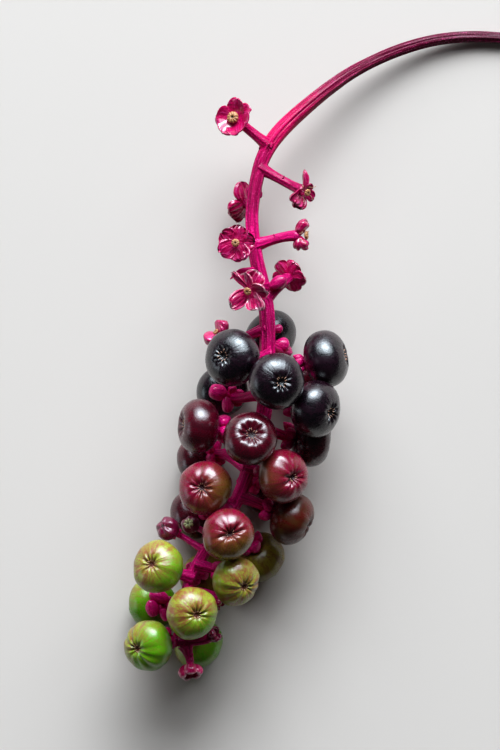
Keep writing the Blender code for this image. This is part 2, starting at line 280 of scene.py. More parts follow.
@dataclass(frozen=True)
class LobedForm:
    """How a body of fused lobes is shaped. Lengths are shares of its radius."""

    lobes: int = 10
    height: float = 0.76
    dimple_depth: float = 0.26
    dimple_width: float = 0.235
    seat_depth: float = 0.14
    seat_width: float = 0.30
    pleat_depth: float = 0.06
    pleat_ring: float = 0.30
    pleat_spread: float = 0.13
    furrow_depth: float = 0.02
    crease_sharpness: float = 1.4
    wobble: float = 0.012
    unevenness: float = 0.35
    rows: int = 78
    columns_a_lobe: int = 12
    # How much closer together its rows are at both ends than halfway
    crowding: float = 0.12

    def top(self, out: np.ndarray, mouth: np.ndarray) -> np.ndarray:
        """The height of the upper side: a round shoulder less a bell-shaped dimple."""
        dome = self.height * np.maximum(1.0 - out**SHOULDER, 0.0) ** (1.0 / SHOULDER)
        return dome - self.dimple_depth * np.exp(-((mouth / self.dimple_width) ** 2))

    def bottom(self, out: np.ndarray, lift: np.ndarray) -> np.ndarray:
        """The height of the lower side: a round shoulder with a bell-shaped hollow where the calyx sits."""
        dome = self.height * np.abs(np.sin(lift)) ** SHOULDER_SWEEP
        return self.seat_depth * np.exp(-((out / self.seat_width) ** 2)) - dome

    def lobed(self, lift: np.ndarray, turn: np.ndarray, out: np.ndarray, mouth: np.ndarray,
              phase: np.ndarray) -> tuple[np.ndarray, np.ndarray]:
        """Draws the skin in between the lobes.

        Between each two lobes a crease, sharp as 1 less the absolute cosine of half the lobe angle, draws the
        skin towards the middle in a ring round the dimple. Further out a valley, soft as the cosine of the lobe
        angle, does so slightly. A few sines of the angle make the lobes uneven.

        Args:
            lift: How high each row is, as an angle from halfway, in radians.
            turn: Each column's angle, in radians.
            out: How far each row is from the axis.
            mouth: How far each point is from the dimple.
            phase: Eight angles that move the unevenness round.

        Returns:
            What each point is multiplied by, and how deep in a crease each column is.
        """
        warped = turn + waves(turn, (0.05, 2.0, phase[0]), (0.03, 3.0, phase[1]))
        crease = (1.0 - np.abs(np.cos(self.lobes * warped / 2.0))) ** self.crease_sharpness
        crease = crease * (1.0 + self.unevenness * waves(turn, (1.0, 1.0, phase[2]), (0.7, 4.0, phase[3])))
        pleat = self.pleat_depth * np.exp(-(((mouth - self.pleat_ring) / self.pleat_spread) ** 2))
        pleat = np.where(lift > 0.0, pleat, 0.0)
        valley = (0.5 - 0.5 * np.cos(self.lobes * warped)) * (0.7 + waves(turn, (0.5, 2.0, phase[7])))
        furrow = self.furrow_depth * (0.45 + 0.55 * np.sin(lift)) * smoothstep(0.15, 0.6, out)
        bumps = waves(turn, (1.0, 2.0, phase[4]), (0.7, 3.0, phase[5]), (0.5, 5.0, phase[6] + 2.0 * lift))
        size = (1.0 - crease * pleat - valley * furrow) * (1.0 + self.wobble * np.cos(lift) * bumps)
        return size, crease

    def patch(self, seed: int, stretch: float = 0.0, stretch_turn: float = 0.0) -> Patch:
        """The body about +Z with radius 1, from its stalk end to its style end.

        It is a round shoulder, where out to the power 2.2 plus height to the power 2.2 is constant, with a
        bell-shaped dimple at each end, and its lobes are drawn in between.

        Args:
            seed: Picks the unevenness of the lobes.
            stretch: How much longer than wide the dimple is.
            stretch_turn: Degrees from local +X to the dimple's long way.

        Returns:
            The closed body. Its grain holds the angle as a circle and how far a point is from the dimple.
        """
        phase = np.random.default_rng(seed).uniform(0.0, 2.0 * np.pi, 8)
        share = np.linspace(-1.0, 1.0, self.rows + 2)[1:-1, None]
        lift = np.pi / 2.0 * (share + self.crowding * np.sin(np.pi * share))
        turn = circle(self.lobes * self.columns_a_lobe)[None]
        out = np.cos(lift) ** SHOULDER_SWEEP
        aside = turn - np.radians(stretch_turn)
        mouth = np.hypot(out * np.cos(aside) / (1.0 + stretch), out * np.sin(aside) * (1.0 + stretch))
        height = np.where(lift > 0.0, self.top(out, mouth), self.bottom(out, lift))
        size, crease = self.lobed(lift, turn, out, mouth, phase)
        grid = np.stack((out * np.cos(turn), out * np.sin(turn), height), axis=-1) * size[..., None]
        reach = np.where(lift > 0.0, mouth, 2.0 - out)
        grain = np.stack(np.broadcast_arrays(np.cos(turn), np.sin(turn), reach), axis=-1)
        start = np.array((0.0, 0.0, self.seat_depth - self.height))
        end = np.array((0.0, 0.0, self.height - self.dimple_depth))
        return Patch(grid, start, end, grain, np.zeros(size.shape), np.broadcast_to(crease, size.shape))


# Where along a sepal its curl begins, as a share of its reach
CURL_START = 0.65


@dataclass(frozen=True)
class SepalForm:
    """How a sepal is shaped. Lengths are shares of its reach, and rises are at its tip or rim."""

    width: float = 0.42
    thickness: float = 0.10
    taper: float = 1.2
    trough: float = 0.12
    ripple: float = 0.03
    ripples: float = 2.5
    scallop: float = 0.10
    curl: float = 0.0
    bend: float = 0.0
    rows: int = 22
    columns: int = 32
    # The power that makes its outline blunt: 0.5 would be an ellipse, and less is blunter
    bluntness: float = 0.38

    def folds(self, way: np.ndarray, side: np.ndarray, phase: float) -> np.ndarray:
        """The rise of the folds: a cosine across, crumpled by a slanting sine, growing with the way out."""
        crumple = 0.4 * np.sin(6.0 * way + 4.0 * side + 2.0 * phase)
        return self.ripple * way * (np.cos(self.ripples * np.pi * side + phase) + crumple)

    def bent(self, way: np.ndarray, height: np.ndarray) -> tuple[np.ndarray, np.ndarray]:
        """Rolls the sepal up along an arc round a level axis above its foot, which keeps its widest reach at 1.

        Args:
            way: How far out each point is before that.
            height: How high it is before that.

        Returns:
            How far out and how high each point is then.
        """
        if not self.bend:
            return way, height
        radius = 1.0 / self.bend
        grow = 1.0 / (radius * math.sin(min(self.bend, math.pi / 2.0)))
        angle = way * self.bend
        return grow * (radius - height) * np.sin(angle), grow * (radius - (radius - height) * np.cos(angle))

    def patch(self, cup: float, twist: float, tint: float, phase: float) -> Patch:
        """The sepal from the origin along +X, facing +Z, with a reach of 1.

        Its half width is 4 q (1 - q) to the power of its bluntness, a blunt oval pushed towards the tip by
        taking q as the share of the reach to the power of the taper. Its middle surface rises with the square
        of the way out for the cup, with the square of the way across for the trough, in folds, and with the
        square of the way past the start of the curl. Round it, a flat ellipse gives the thickness. Between the
        folds the rim is drawn in. Where it has a bend, all of it is rolled up along an arc of that many
        radians. The edge layer marks the rim and the folds' crests.

        Args:
            cup: The rise at the tip.
            twist: How much one side stands higher than the other at the tip.
            tint: The tint of the whole sepal.
            phase: Moves the folds across, in radians.

        Returns:
            The closed sepal. Its grain runs along it.
        """
        share = (0.5 - 0.5 * np.cos(np.pi * np.linspace(0.0, 1.0, self.rows + 2)))[1:-1, None]
        turn = circle(self.columns)[None]
        side = np.cos(turn)
        push = share**self.taper
        swell = (4.0 * push * (1.0 - push)) ** self.bluntness
        y = self.width * swell * (1.0 + 0.05 * np.sin(7.0 * share + phase)) * side
        curl = self.curl * np.clip((share - CURL_START) / (1.0 - CURL_START), 0.0, None) ** 2
        middle = cup * share**2 + self.trough * side**2 * swell**3 + curl + twist * side * share
        z = middle + self.folds(share, side, phase) + 0.5 * self.thickness * swell**0.5 * np.sin(turn)
        fold = np.cos(self.ripples * np.pi * side + phase)
        notch = (0.5 - 0.5 * fold) * smoothstep(0.55, 1.0, share)
        x, z = self.bent(share * (1.0 - self.scallop * notch), z)
        grid = np.stack((x, y, z), axis=-1)
        # The folds' crests join the edge layer, where the material paints a highlight.
        crest = (0.5 + 0.5 * fold) ** 4 * smoothstep(0.15, 0.5, share)
        rim = np.maximum(np.maximum(np.abs(side) ** 6, smoothstep(0.80, 1.0, share)), 0.8 * crest)
        grain = np.stack((1.6 * side + 0.0 * share, 0.35 * x, np.full(x.shape, phase)), axis=-1)
        tints = np.full(x.shape, tint)
        return Patch(grid, np.zeros(3), grid[-1].mean(axis=0), grain, tints, np.broadcast_to(rim, x.shape))


def scaled(patch: Patch, size: float) -> Patch:
    """A patch of unit size at a real size in millimetres."""
    return patch.placed(np.eye(3) * size, np.zeros(3))


class Wire:
    """A value on its way through a material's nodes, which sums can be written with."""

    def __init__(self, paint: "Paint", socket: bpy.types.NodeSocket | None) -> None:
        """Wraps a node's output socket."""
        self.paint, self.socket = paint, socket

    def _sum(self, operation: str, first: "Value", second: "Value") -> "Wire":
        """The output of a Math node on two values."""
        return self.paint.node("ShaderNodeMath", {"operation": operation}, {0: first, 1: second})

    def __add__(self, other: "Value") -> "Wire":
        """self + other"""
        return self._sum("ADD", self, other)

    def __radd__(self, other: "Value") -> "Wire":
        """other + self"""
        return self._sum("ADD", other, self)

    def __sub__(self, other: "Value") -> "Wire":
        """self - other"""
        return self._sum("SUBTRACT", self, other)

    def __rsub__(self, other: "Value") -> "Wire":
        """other - self"""
        return self._sum("SUBTRACT", other, self)

    def __mul__(self, other: "Value") -> "Wire":
        """self * other"""
        return self._sum("MULTIPLY", self, other)

    def __rmul__(self, other: "Value") -> "Wire":
        """other * self"""
        return self._sum("MULTIPLY", other, self)

    def between(self, low: float, high: float) -> "Wire":
        """Rises smoothly from 0 at low to 1 at high.

        Args:
            low: The value up to which it is 0.
            high: The value from which it is 1.

        Returns:
            What it rises to.
        """
        settings = {"interpolation_type": "SMOOTHSTEP"}
        inputs = {"Value": self, "From Min": low, "From Max": high}
        return self.paint.node("ShaderNodeMapRange", settings, inputs)


Value = float | tuple | Wire


def opaque(colour: Value) -> Value:
    """A colour with its opacity of 1, or a wire as it is."""
    return colour if isinstance(colour, Wire) else (*colour, 1.0)


class Paint:
    """A material in the making."""

    def __init__(self, name: str) -> None:
        """Starts an empty material.

        Args:
            name: Its name.
        """
        self.material = bpy.data.materials.new(name)
        self.material.use_nodes = True
        self.tree = self.material.node_tree
        self.tree.nodes.clear()

    def node(self, kind: str, settings: dict[str, object], inputs: dict[str | int, Value],
             output: str | int = 0) -> Wire:
        """Adds a node.

        Args:
            kind: The node's type.
            settings: Its settings, which are set first; stops are a ramp's places and colours.
            inputs: Values or wires for its sockets, by name or number.
            output: The socket that is wanted.

        Returns:
            That output.
        """
        made = self.tree.nodes.new(kind)
        for name, value in settings.items():
            if name == "stops":
                stops = made.color_ramp.elements
                for k, (place, shade) in enumerate(value):
                    stop = stops[k] if k < 2 else stops.new(place)
                    stop.position, stop.color = place, opaque(shade)
            else:
                setattr(made, name, value)
        for name, value in inputs.items():
            if isinstance(value, Wire):
                self.tree.links.new(value.socket, made.inputs[name])
            else:
                made.inputs[name].default_value = value
        return Wire(self, made.outputs[output] if made.outputs else None)

    def attribute(self, name: str, output: str = "Fac") -> Wire:
        """A layer of the piece's mesh."""
        return self.node("ShaderNodeAttribute", {"attribute_name": name}, {}, output)

    def place(self) -> Wire:
        """Where a point is on the object, in metres."""
        return self.node("ShaderNodeTexCoord", {}, {}, "Object")

    def noise(self, where: Wire, scale: float, detail: float = 3.0, roughness: float = 0.55) -> Wire:
        """Cloudy noise about 0.5 over the places where."""
        inputs = {"Vector": where, "Scale": scale, "Detail": detail, "Roughness": roughness}
        return self.node("ShaderNodeTexNoise", {}, inputs)

    def stretched(self, grain: Wire, around: float, out: float) -> Wire:
        """A grain of angle and distance, made larger by one number round the middle and another outwards."""
        return self.node("ShaderNodeMapping", {}, {"Vector": grain, "Scale": (around, around, out)})

    def mix(self, first: Value, second: Value, share: Value) -> Wire:
        """A colour that goes from first to second as share goes from 0 to 1."""
        inputs = {0: share, 6: opaque(first), 7: opaque(second)}
        return self.node("ShaderNodeMix", {"data_type": "RGBA"}, inputs, 2)

    def height_of(self, where: Wire) -> Wire:
        """The third number of a vector."""
        return self.node("ShaderNodeSeparateXYZ", {}, {0: where}, 2)

    def bump(self, height: Wire, depth: float) -> Wire:
        """The normal that a relief gives, depth being how far height 1 stands above height 0, in metres."""
        return self.node("ShaderNodeBump", {}, {"Height": height, "Distance": depth, "Strength": 1.0}, "Normal")

    def close(self, inputs: dict[str | int, Value]) -> bpy.types.Material:
        """Adds the shader and the output.

        Args:
            inputs: The values and wires of the shader.

        Returns:
            The finished material.
        """
        shader = self.node("ShaderNodeBsdfPrincipled", {}, inputs)
        self.node("ShaderNodeOutputMaterial", {}, {"Surface": shader})
        return self.material


@dataclass(frozen=True)
class FruitFinish:
    """The skin of a fruit: a ground colour that blushes on one side, partly painted shade, with mottling and a
    marked star.
    """

    slot: str
    ground: Colour
    blush_and_shade: Colour
    mottle: Colour
    streak: Colour
    star_and_crease_shade: Colour
    mottling: float = 0.5
    streaking: float = 0.5
    roughness: float = 0.28
    shine: float = 0.40
    coat: float = 0.30
    glow: float = 0.0

    def material(self) -> bpy.types.Material:
        """The skin's material.

        Clouds on the object mottle it. Streaks follow the lobes, because the grain goes round with the angle
        many times faster than it goes out, and they fade with the way out from the star, and on the blushed
        side, whose colour is partly painted shade. The creases near the star, which the edge layer marks, and
        its middle are darkest, with the star's own colour and painted shade.

        Returns:
            The material.
        """
        paint = Paint(self.slot)
        place, grain = paint.place(), paint.attribute("grain", "Vector")
        out = paint.height_of(grain)
        clouds = paint.noise(place, 260.0, 4.0)
        specks = paint.noise(place, 3000.0, 2.0)
        streaks = paint.noise(paint.stretched(grain, 8.0, 1.4), 1.0, 4.0)
        blots = paint.noise(paint.stretched(grain, 4.5, 4.5), 1.0, 4.0, 0.65)
        # The blushed side: a second colour of the skin that is partly painted shade.
        side = (paint.attribute("tint") + 0.35 * clouds - 0.175).between(0.15, 0.85)
        still = (1.0 - 0.8 * side) * self.mottling
        blotched = 0.8 * clouds.between(0.43, 0.73) + blots.between(0.48, 0.61)
        shade = paint.mix(self.ground, self.blush_and_shade, side)
        shade = paint.mix(shade, self.mottle, blotched * still)
        shade = paint.mix(shade, self.mottle, specks.between(0.50, 0.66) * (0.20 + 0.5 * still))
        near = 1.0 - out.between(0.25, 1.25)
        streaked = streaks.between(0.45, 0.66) * near * (1.0 - 0.5 * side)
        shade = paint.mix(shade, self.streak, streaked * self.streaking)
        # The star's own colour with painted shade: darkest in the creases near the star and in its middle.
        star_and_crease_shade = paint.attribute("edge").between(0.25, 0.95) * (1.0 - out.between(0.14, 0.40))
        middle = 1.0 - out.between(0.05, 0.22)
        shade = paint.mix(shade, self.star_and_crease_shade, (star_and_crease_shade + middle - star_and_crease_shade * middle) * 0.9)
        rough = 0.16 * (clouds - 0.5) + 0.20 * (specks - 0.5) + 0.15 * (blots - 0.5)
        relief = specks * 0.25 + streaks * near + 1.5 * clouds
        coated = self.coat + 0.5 * self.coat * (streaks - 0.5)
        return paint.close({
            "Base Color": shade,
            "Roughness": self.roughness + rough,
            "Normal": paint.bump(relief, 0.00010),
            "Specular IOR Level": self.shine,
            "Coat Weight": coated * (1.0 - 0.9 * middle),
            "Coat Roughness": 0.26,
            "Coat IOR": 1.6,
            "Subsurface Weight": self.glow,
            "Subsurface Scale": 0.0012,
            "Subsurface Radius": (1.0, 0.5, 0.2),
        })


@dataclass(frozen=True)
class StemFinish:
    """The fleshy skin of the stem, stalks and calyxes, whose colours, partly painted light, go along the stem
    from its cut end.
    """

    slot: str
    colours: tuple[tuple[float, Colour], ...]
    # pale is its pale pores and a painted highlight on its ridges; dark is its darker streaks and painted shade
    # in its furrows.
    pale: Colour
    dark: Colour
    roughness: float = 0.34
    gloss: float = 0.22
    gloss_roughness: float = 0.16

    def material(self, name: str) -> bpy.types.Material:
        """The stem's material: the colour along it, with some painted light, fine lengthwise streaks, painted
        shade in the furrows, a painted highlight on the ridges, and pale pores.

        Args:
            name: The material's name.

        Returns:
            The material.
        """
        paint = Paint(name)
        place, grain = paint.place(), paint.attribute("grain", "Vector")
        streaks = paint.noise(grain, 5.0, 4.0, 0.6)
        clouds = paint.noise(place, 180.0, 3.0)
        pores = paint.noise(place, 3400.0, 2.0, 0.7)
        along = paint.attribute("tint") + 0.10 * (clouds - 0.5)
        shade = paint.node("ShaderNodeValToRGB", {"stops": self.colours}, {0: along}, "Color")
        crest = paint.attribute("edge")
        # Painted shade: darker in the furrows between the ridges.
        shade = paint.mix(shade, self.dark, (1.0 - crest.between(0.05, 0.60)) * 0.50)
        shade = paint.mix(shade, self.dark, (1.0 - streaks.between(0.36, 0.52)) * 0.45)
        # Painted highlight: the pale colour on the crests of the ridges, broken by the streaks and pores.
        ridge = streaks.between(0.48, 0.66) * crest.between(0.30, 0.75)
        shade = paint.mix(shade, self.pale, ridge * (0.10 + pores.between(0.48, 0.62)) * 0.42)
        shade = paint.mix(shade, self.pale, pores.between(0.56, 0.66) * 0.24)
        return paint.close({
            "Base Color": shade,
            "Roughness": self.roughness + 0.20 * (streaks - 0.5) + 0.20 * (pores - 0.5),
            "Normal": paint.bump(streaks + 1.4 * pores, 0.00016),
            "Specular IOR Level": 0.08,
            "Coat Weight": self.gloss,
            "Coat Roughness": self.gloss_roughness,
            "Subsurface Weight": 0.05,
            "Subsurface Scale": 0.0010,
            "Subsurface Radius": (1.0, 0.2, 0.4),
        })


@dataclass(frozen=True)
class SepalFinish:
    """The skin of the sepals, from fresh to dried, with a paler rim and folds, and a painted highlight on the
    folds' crests.
    """

    slot: str
    fresh: Colour
    dried: Colour
    rim: Colour
    fold: Colour
    roughness: float = 0.36

    def material(self) -> bpy.types.Material:
        """The sepals' material: veins run along each sepal, the rim is pale, and the folds' crests have a
        painted highlight.

        Returns:
            The material.
        """
        paint = Paint(self.slot)
        place, grain = paint.place(), paint.attribute("grain", "Vector")
        veins = paint.noise(grain, 5.5, 3.0, 0.6)
        clouds = paint.noise(place, 420.0, 3.0)
        pores = paint.noise(place, 3000.0, 2.0, 0.6)
        age = (paint.attribute("tint") + 0.7 * (clouds - 0.5)).between(0.2, 0.9)
        shade = paint.mix(self.fresh, self.dried, age)
        shade = paint.mix(shade, self.fold, veins.between(0.50, 0.68) * 0.55)
        # A pale rim, and a painted highlight on the folds' crests, which the edge layer also marks.
        rim = (paint.attribute("edge") * (clouds + 0.8 * veins)).between(0.42, 0.95)
        shade = paint.mix(shade, self.rim, rim * 0.85)
        return paint.close({
            "Base Color": shade,
            "Roughness": self.roughness + 0.25 * (clouds - 0.5) + 0.15 * (pores - 0.5),
            "Normal": paint.bump(veins + 0.5 * pores + 5.0 * clouds, 0.00016),
            "Specular IOR Level": 0.15,
            "Coat Weight": 1.0,
            "Coat Roughness": 0.10,
            "Coat IOR": 1.6,
        })


@dataclass(frozen=True)
class OvaryFinish:
    """The pale ring of carpels round a dark middle, also used for the dried threads and styles."""

    slot: str
    ring: Colour
    middle: Colour
    crease: Colour
    roughness: float = 0.45

    def material(self, name: str) -> bpy.types.Material:
        """The material: dark in the middle, pale further out, darker between the carpels.

        Args:
            name: The material's name.

        Returns:
            The material.
        """
        paint = Paint(name)
        out = paint.height_of(paint.attribute("grain", "Vector"))
        clouds = paint.noise(paint.place(), 1500.0, 3.0)
        shade = paint.mix(self.middle, self.ring, (out + 0.2 * (clouds - 0.5)).between(0.08, 0.36))
        shade = paint.mix(shade, self.crease, paint.attribute("edge").between(0.35, 0.95) * 0.8)
        shade = paint.mix(shade, self.crease, clouds.between(0.55, 0.75) * 0.4)
        return paint.close({
            "Base Color": shade,
            "Roughness": self.roughness + 0.2 * (clouds - 0.5),
            "Normal": paint.bump(clouds, 0.00006),
            "Coat Weight": 0.2,
            "Coat Roughness": 0.25,
        })


class Ripeness(Enum):
    """How ripe a fruit is, named as its material slot."""

    BLACK = "black"
    MAROON = "maroon"
    RED = "red"
    RUSSET = "russet"
    OLIVE = "olive"
    GREEN = "green"
    YOUNG = "young"


FORMS = {
    Ripeness.BLACK: LobedForm(dimple_depth=0.20, dimple_width=0.18, pleat_depth=0.135, pleat_ring=0.25,
                              pleat_spread=0.10, furrow_depth=0.005, crease_sharpness=0.8, unevenness=0.40),
    Ripeness.MAROON: LobedForm(dimple_depth=0.28, dimple_width=0.35, pleat_depth=0.125, pleat_ring=0.33,
                               furrow_depth=0.008, crease_sharpness=1.0),
    Ripeness.RED: LobedForm(dimple_width=0.22, pleat_depth=0.125, pleat_ring=0.27, pleat_spread=0.15,
                            furrow_depth=0.024, crease_sharpness=1.0, wobble=0.022, unevenness=0.55),
    Ripeness.RUSSET: LobedForm(pleat_depth=0.10, pleat_spread=0.15, furrow_depth=0.018, wobble=0.020),
    Ripeness.OLIVE: LobedForm(pleat_depth=0.10, pleat_spread=0.16, furrow_depth=0.022, wobble=0.020),
    Ripeness.GREEN: LobedForm(dimple_depth=0.20, dimple_width=0.19, pleat_depth=0.105, pleat_ring=0.22,
                              pleat_spread=0.17, furrow_depth=0.042, crease_sharpness=0.9, wobble=0.024,
                              unevenness=0.60),
    Ripeness.YOUNG: LobedForm(lobes=5, dimple_width=0.25, dimple_depth=0.10, pleat_depth=0.03,
                              pleat_spread=0.25, furrow_depth=0.24, crease_sharpness=1.1, wobble=0.03),
}
CROWN_FORM = LobedForm(lobes=7, height=0.5, dimple_depth=0.35, dimple_width=0.35, seat_depth=0.0,
                       pleat_depth=0.25, pleat_ring=0.6, pleat_spread=0.4, furrow_depth=0.30, rows=20,
                       columns_a_lobe=8)
OVARY_FORM = LobedForm(height=0.52, dimple_depth=0.40, dimple_width=0.30, seat_depth=0.0, pleat_depth=0.22,
                       pleat_ring=0.55, pleat_spread=0.35, furrow_depth=0.14, crease_sharpness=1.0, rows=26,
                       columns_a_lobe=6)
KNOB_FORM = LobedForm(lobes=5, height=0.9, dimple_depth=0.0, pleat_depth=0.0, furrow_depth=0.15, rows=12,
                      columns_a_lobe=4)
CALYX_FORM = SepalForm(width=0.44, thickness=0.86, taper=1.7, trough=-0.05, ripple=0.0, scallop=0.0, rows=16,
                       columns=20)
LONE_LOBE_FORM = replace(CALYX_FORM, taper=1.25, rows=20, columns=28)
SCALE_FORM = SepalForm(thickness=0.30, taper=1.3, trough=0.25, ripple=0.05, rows=12, columns=16)

# How many sepals a calyx or a flower has
SEPALS = 5

# How far from the middle of the star the styles stand, as a share of the fruit's radius
STYLE_RINGS = {Ripeness.BLACK: 0.15, Ripeness.MAROON: 0.14, Ripeness.YOUNG: 0.16}
USUAL_STYLE_RING = 0.12

# Each has its ground, blush, mottle, streak and star colours in that order; the blush is partly painted shade,
# and the star colour is also painted shade in the creases.
SKINS = {
    Ripeness.BLACK: FruitFinish("black", (0.0026, 0.0014, 0.0032), (0.018, 0.0012, 0.007),
                                (0.020, 0.002, 0.010), (0.016, 0.002, 0.008), (0.0015, 0.0006, 0.0012),
                                shine=0.70, coat=0.42),
    Ripeness.MAROON: FruitFinish("maroon", (0.080, 0.0002, 0.0090), (0.014, 0.0002, 0.003),
                                 (0.030, 0.0003, 0.005), (0.120, 0.0003, 0.016), (0.006, 0.0001, 0.0012),
                                 roughness=0.27, shine=0.55, coat=0.52),
    Ripeness.RED: FruitFinish("red", (0.215, 0.0015, 0.030), (0.150, 0.092, 0.009), (0.125, 0.022, 0.010),
                              (0.260, 0.0015, 0.044), (0.016, 0.0003, 0.002), mottling=0.6, streaking=0.8,
                              shine=0.55, coat=0.45, glow=0.05),
    Ripeness.RUSSET: FruitFinish("russet", (0.095, 0.007, 0.005), (0.060, 0.024, 0.003),
                                 (0.070, 0.022, 0.005), (0.120, 0.003, 0.009), (0.012, 0.001, 0.002),
                                 mottling=0.7, roughness=0.30, shine=0.35, coat=0.26),
    Ripeness.OLIVE: FruitFinish("olive", (0.200, 0.155, 0.012), (0.130, 0.190, 0.008), (0.130, 0.050, 0.008),
                                (0.120, 0.022, 0.010), (0.012, 0.003, 0.002), mottling=0.7, roughness=0.30,
                                shine=0.35, coat=0.26),
    # Its darker green blush is partly painted shade, on the lower sides and on the fruits that lie in shade.
    Ripeness.GREEN: FruitFinish("green", (0.300, 0.340, 0.038), (0.100, 0.320, 0.003), (0.270, 0.105, 0.034),
                                (0.260, 0.050, 0.034), (0.120, 0.008, 0.013), mottling=0.85, streaking=1.0,
                                roughness=0.30, shine=0.48, glow=0.06),
    Ripeness.YOUNG: FruitFinish("young", (0.160, 0.001, 0.034), (0.036, 0.001, 0.012), (0.110, 0.001, 0.026),
                                (0.200, 0.002, 0.050), (0.020, 0.001, 0.006), roughness=0.30, shine=0.60,
                                coat=0.5),
}

# Each has its ring, middle and crease colours in that order
STYLE_FINISH = OvaryFinish("ovary", (0.52, 0.28, 0.19), (0.30, 0.15, 0.09), (0.20, 0.03, 0.04))
CROWN_FINISH = OvaryFinish("ovary", (0.50, 0.52, 0.26), (0.02, 0.03, 0.01), (0.12, 0.10, 0.06))
OVARY_FINISH = OvaryFinish("ovary", (0.46, 0.22, 0.09), (0.02, 0.02, 0.008), (0.17, 0.035, 0.025))
SEPAL_FINISH = SepalFinish("sepals", fresh=(0.470, 0.0005, 0.085), dried=(0.150, 0.001, 0.022),
                           rim=(0.780, 0.420, 0.480), fold=(0.680, 0.070, 0.300))

# The stem's colours, brightened in places as painted light where it lies in shade: how far along it each is, as
# a share, its red and its blue. Its green is the same trace.
STEM_COLOURS_AND_LIGHT = (
    (0.000, 0.065, 0.013), (0.100, 0.092, 0.018), (0.160, 0.125, 0.024), (0.250, 0.200, 0.036),
    (0.300, 0.450, 0.070), (0.335, 0.680, 0.105), (0.370, 0.500, 0.100), (0.420, 0.350, 0.075),
    (0.475, 0.690, 0.165), (0.530, 0.520, 0.125), (0.590, 0.460, 0.110), (0.620, 0.560, 0.135),
    (0.700, 0.680, 0.170), (0.810, 0.700, 0.180), (0.890, 0.520, 0.140), (1.000, 0.480, 0.130),
)
GREEN_TRACE = 0.001
# How bright the calyxes are beside the stem at its cut end, and how much brighter they get to its tip
CALYX_LIGHT = 0.55
CALYX_LIGHT_GAIN = 0.75


def stem_colours_and_light(light: float, gain: float) -> tuple[tuple[float, Colour], ...]:
    """The stops of a ramp along the stem, with the painted light in its colours.

    Args:
        light: What the colours are multiplied by at the cut end.
        gain: How much more they are multiplied by at the tip.

    Returns:
        The share and the colour of each stop.
    """
    lights = [light + gain * share for share, _, _ in STEM_COLOURS_AND_LIGHT]
    return tuple((share, (bright * red, GREEN_TRACE, bright * blue))
                 for bright, (share, red, blue) in zip(lights, STEM_COLOURS_AND_LIGHT))


STEM_FINISH = StemFinish("stem", stem_colours_and_light(1.0, 0.0), pale=(0.950, 0.100, 0.360),
                         dark=(0.085, 0.0005, 0.018))
CALYX_FINISH = replace(STEM_FINISH, colours=stem_colours_and_light(CALYX_LIGHT, CALYX_LIGHT_GAIN), gloss=0.60,
                       gloss_roughness=0.22)


